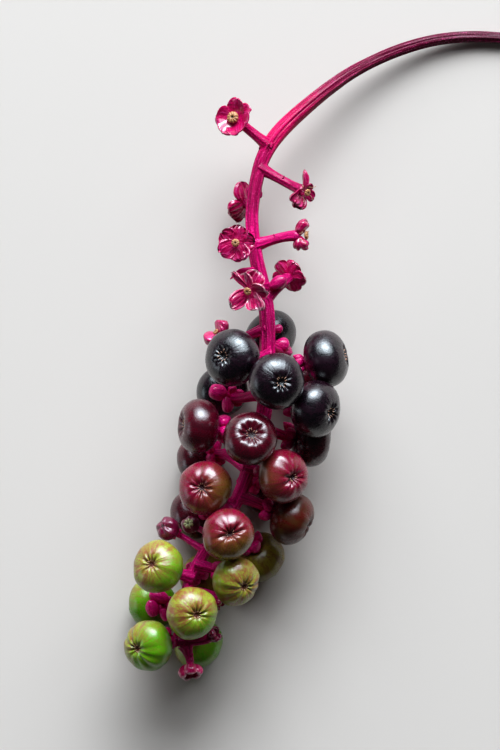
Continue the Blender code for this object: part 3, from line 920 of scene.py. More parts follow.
@dataclass
class Stem:
    """The stem from its cut end round the arch to its tip, and every stalk, calyx and bract on it."""

    # Middle line: x, y, z and radius. It repeats the CAD model's route.
    route: tuple[tuple[float, float, float, float], ...] = (
        (35.8, 57.2, 1.02, 1.00), (28.1, 57.7, 1.30, 1.00), (20.8, 57.1, 2.10, 1.00), (13.5, 55.0, 3.30, 1.03),
        (6.3, 51.6, 4.90, 1.08), (1.1, 48.1, 6.40, 1.18), (-4.5, 43.4, 8.00, 1.28), (-8.5, 39.3, 9.30, 1.36),
        (-10.9, 35.3, 10.40, 1.28), (-12.1, 31.3, 11.20, 1.22), (-12.9, 26.4, 11.90, 1.20),
        (-12.9, 21.9, 12.40, 1.22), (-12.2, 16.9, 12.80, 1.25), (-11.1, 12.0, 13.10, 1.30),
        (-10.3, 7.2, 13.30, 1.38), (-10.2, 1.2, 13.30, 1.38), (-10.3, -4.2, 13.30, 1.38),
        (-10.8, -10.5, 13.30, 1.35), (-12.1, -15.9, 13.30, 1.28), (-13.5, -20.9, 13.30, 1.20),
        (-15.3, -25.7, 13.30, 1.15), (-18.1, -30.5, 13.20, 1.10), (-21.4, -35.7, 13.00, 1.05),
        (-23.9, -40.4, 12.70, 1.00), (-25.2, -45.6, 12.40, 0.92), (-25.2, -50.1, 12.20, 0.80),
        (-24.9, -52.8, 12.10, 0.62),
    )
    steps_a_span: int = 10
    coarse_steps: int = 2
    sides: int = 96
    # Ridges along the stem: how many there are round it, how high, and how far they drift in a millimetre.
    ridges: tuple[tuple[int, float, float], ...] = (
        (6, 0.060, 0.010), (10, 0.034, -0.014), (17, 0.024, 0.008), (29, 0.011, -0.010))
    # What its radius shrinks to at both ends, and in how many millimetres at the cut and at the tip
    end_size: float = 0.72
    cut_rounding: float = 0.5
    tip_rounding: float = 0.8
    # A stalk's points, how far it runs straight on at both ends, as a share of its length, how much its root
    # widens and in how many millimetres that falls away, and how strong its ridges are beside the stem's
    stalk_rings: int = 30
    stalk_sides: int = 40
    stalk_lead: float = 0.38
    root_flare: float = 1.6
    flare_fall: float = 1.5
    stalk_relief: float = 0.8
    # The bract between two flowers: x, y, z and radius, and its tint
    bract_route: tuple[tuple[float, float, float, float], ...] = (
        (-12.6, 14.9, 13.6, 0.55), (-15.1, 14.6, 14.9, 0.50), (-16.9, 13.2, 15.4, 0.10))
    bract_sides: int = 16
    bract_tint: float = 0.5
    # Fleshy calyx lobes that stand out by themselves: x, y and z of the foot, azimuth, rise, reach, half width
    lone_lobes: tuple[tuple[float, ...], ...] = (
        (-17.5, -7.6, 8.8, 164, 10, 3.3, 1.55), (-17.7, -7.9, 9.2, -82, 10, 2.9, 1.00),
        (-9.6, 4.1, 9.8, 10, 5, 2.2, 0.80), (-9.0, 1.4, 10.3, 3, 5, 2.8, 1.28),
        (-9.9, 11.7, 14.6, 30, 8, 3.5, 1.15), (-27.9, -44.9, 8.5, 158, 5, 3.9, 1.25),
        (-31.5, -44.7, 8.9, -72, 5, 3.1, 1.25), (-29.4, -46.3, 9.0, -60, 5, 2.4, 0.85),
    )
    stalks: Skin = field(default_factory=lambda: Skin("stalks"))
    calyxes: Skin = field(default_factory=lambda: Skin("calyxes"))
    bracts: Skin = field(default_factory=lambda: Skin("bracts"))
    line: np.ndarray = field(init=False)
    coarse: np.ndarray = field(init=False)
    gone: np.ndarray = field(init=False)

    def smooth(self, points: np.ndarray, steps: int) -> np.ndarray:
        """Points on the curve through others that leaves each along the line between its neighbours.

        Args:
            points: The points to pass through, one to a row.
            steps: How many points each span gets.

        Returns:
            The points along the curve, with the last one.
        """
        last = len(points) - 1
        span = np.repeat(np.arange(last), steps)
        share = np.tile(np.arange(steps) / steps, last)[:, None]
        before, here, there, after = (points[np.clip(span + k, 0, last)] for k in (-1, 0, 1, 2))
        curve = 0.5 * (2.0 * here + (there - before) * share
                       + (2.0 * before - 5.0 * here + 4.0 * there - after) * share**2
                       + (3.0 * here - before - 3.0 * there + after) * share**3)
        return np.concatenate((curve, points[-1:]))

    def __post_init__(self) -> None:
        """Works out the middle line, finely for the skin and coarsely for the stalks' roots."""
        route = np.array(self.route)
        self.line = self.smooth(route, self.steps_a_span)
        self.coarse = self.smooth(route, self.coarse_steps)[:, :3]
        self.gone = length_along(self.coarse)

    def root_of(self, end: np.ndarray, slip: float) -> tuple[np.ndarray, float]:
        """Where a stalk leaves the middle line: at its nearest point, moved along it.

        Args:
            end: The stalk's other end.
            slip: Millimetres to move along the stem, towards its tip where positive.

        Returns:
            The point, and how far along the stem it is, as a share.
        """
        index = int(np.argmin(np.linalg.norm(self.coarse - end, axis=1)))
        way = (self.gone - self.gone[index]) * np.sign(slip)
        if slip:
            index = int(np.argmin(np.where(way >= abs(slip), way, np.inf)))
        return self.coarse[index], float(self.gone[index] / self.gone[-1])

    def ridged(self, gone: np.ndarray, sides: int, strength: float,
               phase: float) -> tuple[np.ndarray, np.ndarray]:
        """The ridges along a stem or stalk, as a sum of cosines of the angle that drift along it.

        Args:
            gone: Millimetres along the path, for each ring.
            sides: Points in a ring.
            strength: How strong the ridges are, 1 being the stem's own.
            phase: Turns the ridges round, in radians.

        Returns:
            What to multiply the radius of each point by, and how much it is a crest, from 0 to 1.
        """
        turn = circle(sides)[None]
        relief = sum(height * np.cos(count * turn + drift * count * gone[:, None] + phase * count)
                     for count, height, drift in self.ridges)
        most = sum(height for _, height, _ in self.ridges)
        return 1.0 + strength * relief, 0.5 + 0.5 * relief / most

    def add_stalk(self, seat: np.ndarray, axis: np.ndarray, slip: float, size: tuple[float, float, float],
                  scales: tuple[tuple[float, float, float], ...] = ()) -> None:
        """Adds a stalk from the stem to a seat.

        It runs on a cubic curve that starts towards the seat and ends along the axis. Its radius falls from a
        flared root by an exponential, and widens again with the fourth power of the way.

        Args:
            seat: The stalk's end.
            axis: The direction in which it arrives.
            slip: How far its root is moved along the stem.
            size: Its radius at the root, the neck and the end.
            scales: The small bracts on it: where along it, how far round it from the top, and how long.
        """
        root, along = self.root_of(seat, slip)
        lead = np.linalg.norm(seat - root) * self.stalk_lead
        leave, arrive = root + unit(seat - root) * lead, seat - axis * lead
        t = np.linspace(0.0, 1.0, self.stalk_rings)[:, None]
        path = root * (1 - t) ** 3 + 3 * leave * t * (1 - t) ** 2 + 3 * arrive * t**2 * (1 - t) + seat * t**3
        gone = length_along(path)
        at_root, at_neck, at_end = size
        flare = (self.root_flare * at_root - at_neck) * np.exp(-gone / self.flare_fall)
        radii = at_neck + flare + (at_end - at_neck) * t[:, 0] ** 4
        # Its place along the stem also turns its ridges, so that no two stalks look the same
        relief, crest = self.ridged(gone, self.stalk_sides, self.stalk_relief, along * 40.0)
        tint = np.full(len(path), along)
        self.stalks.add(tube_patch(path, radii[:, None] * relief, self.stalk_sides, tint, crest))
        for share, turn, reach in scales:
            index = int(share * (len(path) - 1))
            way = path[index + 1] - path[index]
            self.add_scale(path[index], way, float(radii[index]), turn, reach, along)

    def add_scale(self, spot: np.ndarray, way: np.ndarray, radius: float, turn: float, reach: float,
                  tint: float) -> None:
        """Adds a small fleshy bract, which leaves a stalk slantwise and curls back towards it.

        Args:
            spot: A point on the stalk's middle line.
            way: The direction of the stalk there.
            radius: The stalk's radius there.
            turn: Degrees round the stalk, from its top.
            reach: The bract's length.
            tint: The tint of the stalk.
        """
        ahead = unit(way)
        side = unit(np.cross(ahead, (0.0, 0.0, 1.0)))
        top = np.cross(side, ahead)
        out = math.cos(math.radians(turn)) * top + math.sin(math.radians(turn)) * side
        slant = unit(ahead + 0.8 * out)
        across = np.cross(out, ahead)
        lie = np.column_stack((slant, across, np.cross(slant, across)))
        patch = SCALE_FORM.patch(0.35, 0.1, tint, turn)
        # The edge sets how much painted highlight and painted shade the stem's material gives the bract.
        patch = replace(patch, edge=0.6 + 0.4 * patch.edge)
        self.calyxes.add(scaled(patch, reach).placed(lie, spot + out * radius * 0.6))

    def add_knob(self, spot: np.ndarray, turn: np.ndarray, radius: float, tint: float, form: LobedForm,
                 seed: int) -> None:
        """Adds the ribbed knob that a calyx or a flower grows from.

        Args:
            spot: Its middle.
            turn: The rotation matrix that carries +Z to its axis.
            radius: Its radius.
            tint: The tint of its stalk.
            form: Its shape.
            seed: Picks how uneven it is.
        """
        knob = form.patch(seed)
        # Its edge is low in its creases, where the stem's material paints shade, and high between them, where
        # it paints a highlight.
        knob = replace(knob, tint=np.full(knob.tint.shape, tint), edge=1.0 - knob.edge)
        self.calyxes.add(scaled(knob, radius).placed(turn, spot))

    def add_calyx(self, seat: np.ndarray, axis: np.ndarray, reach: float, seed: int) -> None:
        """Adds the five fleshy sepals behind a fruit, and the knob that they grow from.

        Args:
            seat: The middle of the calyx.
            axis: The fruit's axis.
            reach: How far the sepals reach.
            seed: Picks how uneven they are.
        """
        random = np.random.default_rng(CALYX_SEED + seed)
        _, along = self.root_of(seat, 0.0)
        turn = turn_to(axis)
        for angle in circle(SEPALS):
            patch = CALYX_FORM.patch(-0.24 + random.uniform(-0.12, 0.10), random.uniform(-0.12, 0.12), along,
                                     random.uniform(0.0, 6.0))
            # The edge sets how much painted highlight and painted shade the stem's material gives the sepal.
            patch = replace(patch, edge=0.45 + 0.3 * patch.edge)
            lie = turn @ about_z(angle + random.uniform(-0.12, 0.12))
            self.calyxes.add(scaled(patch, reach * random.uniform(0.85, 1.02)).placed(lie, seat - axis * 0.3))
        self.add_knob(seat - axis * 0.1, turn, 0.42 * reach, along, KNOB_FORM, seed)

    def add_lone_lobes(self) -> None:
        """Adds the calyx lobes of the table, each thick and rounded and turned with its back up."""
        for k, (x, y, z, azimuth, rise, reach, half) in enumerate(self.lone_lobes):
            foot = np.array((x, y, z))
            _, along = self.root_of(foot, 0.0)
            form = replace(LONE_LOBE_FORM, width=half / reach, thickness=1.6 * half / reach)
            ahead, side = direction(azimuth, 90.0 - rise), direction(azimuth + 90.0, 90.0)
            lie = np.column_stack((ahead, side, np.cross(ahead, side)))
            patch = form.patch(-0.10, 0.0, along, float(k))
            # The edge sets how much painted highlight and painted shade the stem's material gives the lobe.
            patch = replace(patch, edge=0.50 + 0.3 * patch.edge)
            self.calyxes.add(scaled(patch, reach).placed(lie, foot))

    def build(self) -> None:
        """Makes the stem, its stalks, calyxes and bracts."""
        self.add_lone_lobes()
        path, radii = self.line[:, :3], self.line[:, 3]
        gone = length_along(path)
        # The crests of its ridges take a painted highlight from the material, and its furrows painted shade.
        relief, crest = self.ridged(gone, self.sides, 1.0, 0.6)
        ends = smoothstep(0.0, self.cut_rounding, gone) * smoothstep(0.0, self.tip_rounding, gone[-1] - gone)
        radii = radii * (self.end_size + (1.0 - self.end_size) * ends)
        stem = Skin("stem_skin")
        stem.add(tube_patch(path, radii[:, None] * relief, self.sides, gone / gone[-1], crest).above(0.0))
        plain, fleshy = STEM_FINISH.material("stem"), CALYX_FINISH.material("calyx")
        dress(stem.build(plain), "stem", "stem")
        bract = self.smooth(np.array(self.bract_route), self.steps_a_span)
        flat = bract[:, 3:] * (0.55 + 0.45 * np.cos(circle(self.bract_sides))[None] ** 2)
        tint, edge = np.full(len(bract), self.bract_tint), np.full(len(bract), 0.8)
        self.bracts.add(tube_patch(bract[:, :3], flat, self.bract_sides, tint, edge))
        for skin, material in ((self.stalks, plain), (self.calyxes, fleshy), (self.bracts, plain)):
            dress(skin.build(material), "stem")


# How far a berry of the CAD model reaches along its axis, as a share of its radius
FRUIT_HALF_HEIGHT = 0.68
# How far behind a fruit its calyx is, and how far behind a flower its stalk ends
SEAT_GAP = 0.62
# Young fruits are numbered from here, so that each fruit has a seed of its own
YOUNG_NUMBERS = 50
YOUNG_STALK = (0.65, 0.48, 0.60)


@dataclass
class Fruit:
    """A berry or a young fruit: its lobed skin, which replaces its CAD node, and its styles."""

    name: str
    ripeness: Ripeness
    azimuth: float
    tilt: float
    slip: float = 0.0
    stretch: float = 0.0
    stretch_turn: float = 0.0
    # Where the second colour of the skin is, and how much of it there is. It is partly painted shade.
    blush_and_shade_azimuth: float = 0.0
    blush_and_shade_tilt: float = 90.0
    blush_and_shade: float = 0.0
    styles: float = 1.0
    # How deep its ribs are, 1 being usual for its ripeness
    ribs: float = 1.0
    # The radius of its stalk's root
    root: float = 0.95
    # How far its calyx reaches, as a share of its radius
    calyx: float = 0.56
    # The radius of the pale crown round its middle, as a share of its own
    crown: float = 0.0
    axis: np.ndarray = field(init=False)
    turn: np.ndarray = field(init=False)
    centre: np.ndarray = field(init=False)
    radius: float = field(init=False)
    number: int = field(init=False)
    form: LobedForm = field(init=False)

    def __post_init__(self) -> None:
        """Measures the centre and the radius on the CAD node.

        The node reaches equally far from its centre in every one of its own three directions, and 0.68 radii
        along its axis.
        """
        self.axis = direction(self.azimuth, self.tilt)
        self.turn = turn_to(self.axis)
        local = node_points(self.name) @ self.turn
        low, high = local.min(axis=0), local.max(axis=0)
        self.centre = self.turn @ (low + high) * 0.5
        self.radius = float(high[2] - low[2]) * 0.5 / FRUIT_HALF_HEIGHT
        self.number = int(self.name[-2:]) + (YOUNG_NUMBERS if self.ripeness is Ripeness.YOUNG else 0)
        form = FORMS[self.ripeness]
        self.form = replace(form, furrow_depth=form.furrow_depth * self.ribs)

    def skin(self) -> Skin:
        """Makes the skin. Its tint is the dot product of each point's direction and the blush's, which is
        partly painted shade.

        Returns:
            The mesh.
        """
        patch = self.form.patch(self.number, self.stretch, self.stretch_turn)
        patch = scaled(patch, self.radius).placed(self.turn, self.centre)
        away = unit(patch.grid - self.centre) @ direction(self.blush_and_shade_azimuth, self.blush_and_shade_tilt)
        tint = np.clip(self.blush_and_shade - 0.5 + 0.5 * away, 0.0, 1.0)
        made = Skin(f"{self.name}_skin")
        made.add(replace(patch.above(0.0), tint=tint))
        return made

    def add_styles(self, skin: Skin) -> None:
        """Adds the hooked remains of the styles, one on each lobe, which rise and bend outwards.

        Each follows an upright line that leans out with the square of the way, and tapers.

        Args:
            skin: The mesh that takes them.
        """
        random = np.random.default_rng(STYLE_SEED + self.number)
        t = np.linspace(0.0, 1.0, 6)
        for angle in circle(self.form.lobes):
            angle = angle + random.uniform(-0.10, 0.10)
            ring = np.array(STYLE_RINGS.get(self.ripeness, USUAL_STYLE_RING) * random.uniform(0.85, 1.15))
            spot = np.array((math.cos(angle), math.sin(angle), 0.0))
            foot = spot * ring + np.array((0.0, 0.0, float(self.form.top(ring, ring)) - 0.015))
            lean = random.uniform(0.03, 0.09) * self.styles
            height = random.uniform(0.05, 0.10) * self.styles
            sideways = np.array((-spot[1], spot[0], 0.0)) * random.uniform(-0.04, 0.04)
            path = foot + np.outer(t, (0.0, 0.0, height)) + np.outer(t**2, spot * lean + sideways)
            path[:, 2] -= 0.45 * height * t**3
            radii = self.radius * (0.017 - 0.007 * t)
            tube = tube_patch(path * self.radius, radii, 5, np.zeros(len(t)), np.full(len(t), 0.2))
            tube = replace(tube, grain=np.broadcast_to((0.0, 0.0, 0.5), tube.grain.shape))
            skin.add(tube.placed(self.turn, self.centre))

    def add_crown(self, skin: Skin) -> None:
        """Adds the pale crown of carpels that a very young fruit shows round its middle.

        Args:
            skin: The mesh that takes it.
        """
        if not self.crown:
            return
        spot = self.centre + self.axis * 0.58 * self.radius
        skin.add(scaled(CROWN_FORM.patch(self.number), self.crown * self.radius).placed(self.turn, spot))

    def attach(self, stem: Stem) -> None:
        """Gives the fruit its calyx and its stalk.

        Args:
            stem: The stem that carries it.
        """
        seat = self.centre - self.axis * (FRUIT_HALF_HEIGHT * self.radius + SEAT_GAP)
        size = YOUNG_STALK if self.ripeness is Ripeness.YOUNG else (self.root, 0.82, 1.0)
        stem.add_calyx(seat, self.axis, self.calyx * self.radius, self.number)
        stem.add_stalk(seat, self.axis, self.slip, size)


# How far a flower's ovary in the CAD model reaches along its axis, as a share of its radius
OVARY_HALF_HEIGHT = 0.475
# How far the back of a flower's sepals in the CAD model is behind its centre
SEPAL_BACK = 0.3


@dataclass
class Flower:
    """A flower or its remains: five sepals and the ovary in them, each of which replaces its CAD node."""

    name: str
    azimuth: float
    tilt: float
    cup: float
    slip: float = 0.0
    age: float = 0.2
    ripple: float = 0.07
    ripples: float = 2.5
    curl: float = 0.0
    unevenness: float = 0.10
    width: float = 0.53
    thickness: float = 0.08
    taper: float = 1.2
    trough: float = 0.12
    scallop: float = 0.10
    bend: float = 0.0
    ovary_size: float = 0.9
    # How much shorter than the longest a sepal may be
    shrivel: float = 0.08
    # How strongly its rims are paler and its folds' crests carry a painted highlight
    rim: float = 1.0
    # How much it is flattened along its axis
    squash: float = 1.0
    # How thick its stalk is, 1 being usual
    stalk: float = 1.0
    threads: int = 0
    # Its sepals where they aren't five like ones: azimuth in the picture, reach, half width, cup and bend.
    lobes: tuple[tuple[float, float, float, float, float], ...] = ()
    # The small bracts on its stalk: where along it, how far round it from the top, and how long.
    scales: tuple[tuple[float, float, float], ...] = ((0.50, -40, 0.7),)
    axis: np.ndarray = field(init=False)
    turn: np.ndarray = field(init=False)
    centre: np.ndarray = field(init=False)
    reach: float = field(init=False)
    ovary_centre: np.ndarray = field(init=False)
    ovary_radius: float = field(init=False)
    number: int = field(init=False)

    def __post_init__(self) -> None:
        """Measures the centre and the reach on the CAD nodes.

        The sepals' five sides make the mean of their points lie on the axis, and their back is 0.3 below the
        centre. The tip of a sepal is as far out as the node reaches.
        """
        self.axis = direction(self.azimuth, self.tilt)
        self.turn = turn_to(self.axis)
        local = node_points(f"{self.name}_sepals") @ self.turn
        middle = local.mean(axis=0)
        self.reach = float(np.linalg.norm((local - middle)[:, :2], axis=1).max())
        drop = min(self.cup, 0.0) * self.reach
        self.centre = self.turn @ np.array((middle[0], middle[1], local[:, 2].min() + SEPAL_BACK - drop))
        local = node_points(f"{self.name}_ovary") @ self.turn
        low, high = local.min(axis=0), local.max(axis=0)
        self.ovary_centre = self.turn @ ((low + high) * 0.5)
        self.ovary_radius = float(high[2] - low[2]) * 0.5 / OVARY_HALF_HEIGHT
        self.number = int(self.name[-2:])

    def ring(self, random: np.random.Generator) -> list[tuple[float, ...]]:
        """How each sepal lies: its turn about the axis in radians, reach, width, cup and bend.

        Args:
            random: Picks how uneven five like sepals are, where the flower has no table of its own.

        Returns:
            A row for each sepal.
        """
        if self.lobes:
            ways = [self.turn.T @ direction(azimuth, 90.0) for azimuth, *_ in self.lobes]
            return [(math.atan2(way[1], way[0]), *rest) for way, (_, *rest) in zip(ways, self.lobes)]
        return [(angle + random.uniform(-0.06, 0.06), random.uniform(1.0 - self.shrivel, 1.0),
                 self.width * random.uniform(0.92, 1.06),
                 self.cup + random.uniform(-1.0, 1.0) * self.unevenness, self.bend)
                for angle in circle(SEPALS)]

    def sepals(self) -> Skin:
        """Makes the sepals, each a little different.

        Returns:
            The mesh.
        """
        random = np.random.default_rng(SEPAL_SEED + self.number)
        made = Skin(f"{self.name}_petals")
        for turn, reach, width, cup, bend in self.ring(random):
            form = SepalForm(width=width, thickness=self.thickness, taper=self.taper, bend=bend,
                             trough=self.trough * random.uniform(0.7, 1.3), ripple=self.ripple,
                             ripples=self.ripples, scallop=self.scallop,
                             curl=self.curl * random.uniform(0.2, 1.0))
            patch = form.patch(cup, random.uniform(-0.8, 0.8) * self.unevenness,
                               self.age + random.uniform(-0.12, 0.12), random.uniform(0.0, 6.0))
            patch = replace(patch, edge=patch.edge * self.rim)
            lift = self.axis * random.uniform(0.0, 0.1)
            lie = self.turn @ about_z(turn) @ np.diag((1.0, 1.0, self.squash))
            made.add(scaled(patch, self.reach * reach).placed(lie, self.centre + lift))
        return made

    def ovary(self) -> Skin:
        """Makes the ovary: ten carpels in a ring, sunk in the middle.

        Returns:
            The mesh.
        """
        made = Skin(f"{self.name}_carpels")
        ring = scaled(OVARY_FORM.patch(OVARY_SEED + self.number), self.ovary_size * self.ovary_radius)
        made.add(ring.placed(self.turn, self.ovary_centre))
        return made

    def add_threads(self, skin: Skin) -> None:
        """Adds dried stamens: threads that leave beside the ovary, bow outwards and end in a small head.

        Args:
            skin: The mesh that takes them.
        """
        random = np.random.default_rng(THREAD_SEED + self.number)
        t = np.linspace(0.0, 1.0, 12)
        for k in range(self.threads):
            angle = 2.0 * math.pi * (k + random.uniform(-0.3, 0.3)) / self.threads
            spot = np.array((math.cos(angle), math.sin(angle), 0.0))
            aside = np.array((-spot[1], spot[0], 0.0)) * random.uniform(-0.25, 0.25)
            height = random.uniform(0.22, 0.45)
            path = (0.30 * spot + np.outer(t, spot * random.uniform(0.15, 0.40))
                    + np.outer(t**2, aside) + np.outer(np.sin(np.pi * 0.62 * t), (0.0, 0.0, height)))
            radii = self.reach * (0.016 + 0.024 * smoothstep(0.80, 0.95, t))
            tube = tube_patch(path * self.reach, radii, 6, np.zeros(len(t)), np.full(len(t), 0.1))
            tube = replace(tube, grain=np.broadcast_to((0.0, 0.0, 0.6), tube.grain.shape))
            skin.add(tube.placed(self.turn, self.centre + self.axis * 0.2))

    def attach(self, stem: Stem) -> None:
        """Gives the flower its stalk and the knob under it.

        Args:
            stem: The stem that carries it.
        """
        seat = self.centre - self.axis * SEAT_GAP
        stem.add_stalk(seat, self.axis, self.slip, (0.95, 0.80 * self.stalk, self.stalk), self.scales)
        _, along = stem.root_of(seat, 0.0)
        form = replace(KNOB_FORM, height=0.8)
        stem.add_knob(seat + self.axis * 0.15, self.turn, 1.05 * self.stalk, along, form, self.number)


@dataclass
class Cluster:
    """The whole cluster: the stem, the fruits and the flowers."""

    stem: Stem = field(default_factory=Stem)

    def fruits(self) -> list[Fruit]:
        """Lists every berry, from the ripe ones at the top to the green ones at the tip, and the young fruits.

        Returns:
            The fruits.
        """
        black, maroon, red = Ripeness.BLACK, Ripeness.MAROON, Ripeness.RED
        olive, green, young = Ripeness.OLIVE, Ripeness.GREEN, Ripeness.YOUNG
        return [
            Fruit("berry_01", black, 169, 31, root=1.9),
            Fruit("berry_02", black, 138, 122, calyx=0.22),
            Fruit("berry_03", black, -10, 15, blush_and_shade=0.6, blush_and_shade_azimuth=90),
            Fruit("berry_04", black, 12, 80, slip=3.5, blush_and_shade=0.5, blush_and_shade_azimuth=90, calyx=0.38),
            Fruit("berry_05", black, -13, 55, blush_and_shade=0.5, blush_and_shade_azimuth=90),
            Fruit("berry_06", black, 150, 150, calyx=0.45, root=1.5),
            Fruit("berry_07", maroon, -10, 140),
            Fruit("berry_08", maroon, 72, 19),
            Fruit("berry_09", maroon, 176, 76, blush_and_shade=0.4, blush_and_shade_azimuth=100),
            Fruit("berry_10", maroon, -10, 100, blush_and_shade=0.8),
            Fruit("berry_11", maroon, -155, 135, blush_and_shade=0.8),
            Fruit("berry_12", red, 166, 12, blush_and_shade=0.72, blush_and_shade_azimuth=-20, blush_and_shade_tilt=70),
            Fruit("berry_13", red, -5, 38, blush_and_shade=0.58, blush_and_shade_azimuth=190, blush_and_shade_tilt=70, stretch=0.3,
                  stretch_turn=120),
            Fruit("berry_14", Ripeness.RUSSET, -25, 80, blush_and_shade=0.5, blush_and_shade_azimuth=200),
            Fruit("berry_15", red, 18, 10, blush_and_shade=0.88, blush_and_shade_azimuth=-75, blush_and_shade_tilt=85, stretch=0.45,
                  stretch_turn=99),
            Fruit("berry_16", olive, -60, 135, blush_and_shade=0.6, blush_and_shade_azimuth=-90),
            Fruit("berry_17", green, 153, 25, blush_and_shade=0.80, blush_and_shade_azimuth=-30, blush_and_shade_tilt=80, ribs=0.5),
            Fruit("berry_18", green, -31, 40, blush_and_shade=0.60, blush_and_shade_azimuth=180, blush_and_shade_tilt=80, ribs=1.1),
            Fruit("berry_19", green, -15, 18, blush_and_shade=0.75, blush_and_shade_azimuth=-60, blush_and_shade_tilt=85, ribs=0.5),
            # berry_20 and berry_22 lie in shade: the blush all over them is partly painted shade.
            Fruit("berry_20", green, 180, 145, blush_and_shade=1.4, blush_and_shade_azimuth=-60, ribs=0.5, calyx=0.42),
            Fruit("berry_21", green, -167, 42, blush_and_shade=1.15, blush_and_shade_azimuth=-40, blush_and_shade_tilt=70, ribs=1.3),
            Fruit("berry_22", green, -45, 145, blush_and_shade=1.3, ribs=0.4),
            Fruit("berry_23", maroon, -160, 140),
            Fruit("berry_24", maroon, -40, 145),
            Fruit("berry_25", olive, -30, 155),
            Fruit("young_fruit_01", young, 150, 40, styles=0.6),
            Fruit("young_fruit_02", young, 150, 25, styles=0.6, blush_and_shade=0.8, crown=0.58),
        ]

    def flowers(self) -> list[Flower]:
        """Lists every flower, from the first under the arch to the tip.

        Returns:
            The flowers.
        """
        return [
            Flower("flower_01", 150, 20, 0.05, age=0.14, ripple=0.03, ripples=1.5, unevenness=0.14,
                   thickness=0.14, trough=0.16, taper=1.3, scallop=0.0, rim=0.2, ovary_size=1.15,
                   scales=((0.05, 0, 1.2), (0.12, -70, 0.9)),
                   lobes=((76, 1.02, 0.50, 0.0, 0.9), (12, 1.02, 0.60, 0.0, 0.9), (-66, 0.98, 0.62, 0.0, 0.9),
                          (-122, 1.0, 0.56, 0.0, 0.7), (172, 0.98, 0.58, 0.1, 0.6))),
            Flower("flower_02", -25, 46, 0.15, slip=-1, age=0.32, ripple=0.07, ripples=4.5, unevenness=0.25,
                   taper=1.5, thickness=0.20, trough=0.15, threads=4, ovary_size=0.75, rim=0.55,
                   lobes=((200, 1.12, 0.44, 0.1, 0.3), (235, 1.10, 0.40, 0.0, 0.3),
                          (-30, 0.80, 0.42, 0.0, 0.5), (34, 0.62, 0.34, 0.0, 0.6),
                          (92, 0.98, 0.24, 0.15, -0.9), (160, 0.70, 0.40, 0.3, 0.6))),
            Flower("flower_03", 165, 128, 0.20, age=0.05, ripples=3.5, unevenness=0.18, thickness=0.14,
                   rim=0.7, taper=1.3, scallop=0.04,
                   lobes=((112, 1.20, 0.56, 0.1, 0.4), (196, 1.05, 0.50, 0.1, 0.6),
                          (250, 1.08, 0.52, 0.1, 0.7), (-28, 1.10, 0.52, 0.1, 0.5),
                          (35, 1.00, 0.50, 0.1, 0.5))),
            Flower("flower_04", 200, 8, 0.12, age=0.42, ripple=0.12, ripples=6.0, width=0.57, scallop=0.14,
                   unevenness=0.12, rim=0.62, ovary_size=0.74),
            Flower("flower_05", 2, 80, 0.0, age=0.25, ripple=0.04, taper=1.5, thickness=0.60, trough=0.0,
                   rim=0.6, threads=6,
                   lobes=((91, 0.80, 0.60, 0.0, 1.2), (-91, 0.80, 0.38, 0.0, -0.6),
                          (-88, 0.66, 0.48, 0.0, 1.4))),
            Flower("flower_06", 215, 33, 0.05, age=-0.1, ripple=0.09, ripples=4.5, unevenness=0.20,
                   thickness=0.14, taper=1.5, ovary_size=0.75,
                   lobes=((-140, 1.22, 0.38, 0.0, 1.0), (-58, 1.14, 0.38, 0.0, 0.8),
                          (142, 1.30, 0.15, 0.0, -0.3), (108, 0.90, 0.46, 0.0, -0.3),
                          (60, 1.05, 0.50, 0.0, -0.5), (5, 1.05, 0.46, 0.0, 0.2))),
            Flower("flower_07", 45, 140, 0.10, slip=1, age=0.12, ripple=0.05, scallop=0.04, rim=0.6,
                   scales=()),
            Flower("flower_08", 140, 65, 0.05, age=0.1, ripple=0.0, thickness=0.75, taper=1.3, scallop=0.0,
                   rim=0.6,
                   lobes=((84, 1.25, 0.60, 0.2, 0.6), (190, 1.35, 0.58, 0.2, 0.6),
                          (-60, 0.80, 0.45, 0.2, 0.6), (20, 0.90, 0.50, 0.2, 0.5))),
            Flower("flower_09", -40, 75, 0.30, age=0.4, ripple=0.08, ripples=3.5, thickness=0.20, bend=0.9,
                   rim=0.7),
            Flower("flower_10", 30, 65, 0.20, age=0.8, ripple=0.04, thickness=0.34, taper=1.5, bend=1.6,
                   rim=0.4),
            Flower("flower_11", -85, 60, 0.05, age=-0.2, ripple=0.02, thickness=0.22, taper=1.1, scallop=0.05,
                   unevenness=0.04, trough=0.26, squash=0.76, ovary_size=1.75, stalk=0.58,
                   lobes=((95, 0.77, 0.76, 0.0, 2.35), (38, 0.77, 0.74, 0.0, 2.20),
                          (152, 0.77, 0.74, 0.0, 2.45), (-65, 0.77, 0.72, 0.0, 1.95),
                          (-105, 0.77, 0.72, 0.0, 2.15))),
        ]

    def build(self) -> None:
        """Makes every piece in order and joins it to the frame."""
        skins = {ripeness: finish.material() for ripeness, finish in SKINS.items()}
        styles, crowns = Skin("styles"), Skin("crowns")
        for fruit in self.fruits():
            dress(fruit.skin().build(skins[fruit.ripeness]), fruit.ripeness.value, fruit.name)
            fruit.add_styles(styles)
            fruit.add_crown(crowns)
            fruit.attach(self.stem)
        sepals, carpels = SEPAL_FINISH.material(), OVARY_FINISH.material("carpels")
        threads = Skin("stamens")
        for flower in self.flowers():
            dress(flower.sepals().build(sepals), "sepals", f"{flower.name}_sepals")
            dress(flower.ovary().build(carpels), "ovary", f"{flower.name}_ovary")
            flower.add_threads(threads)
            flower.attach(self.stem)
        dress(crowns.build(CROWN_FINISH.material("crown")), "ovary")
        self.stem.build()
        dried = STYLE_FINISH.material("dried_styles")
        for skin in (styles, threads):
            dress(skin.build(dried), "ovary")


@dataclass(frozen=True)
class SoftBox:
    """A soft light: its place from the point that the camera looks at, its width and height, and its power."""

    name: str
    place: tuple[float, float, float]
    size: tuple[float, float]
    watts: float


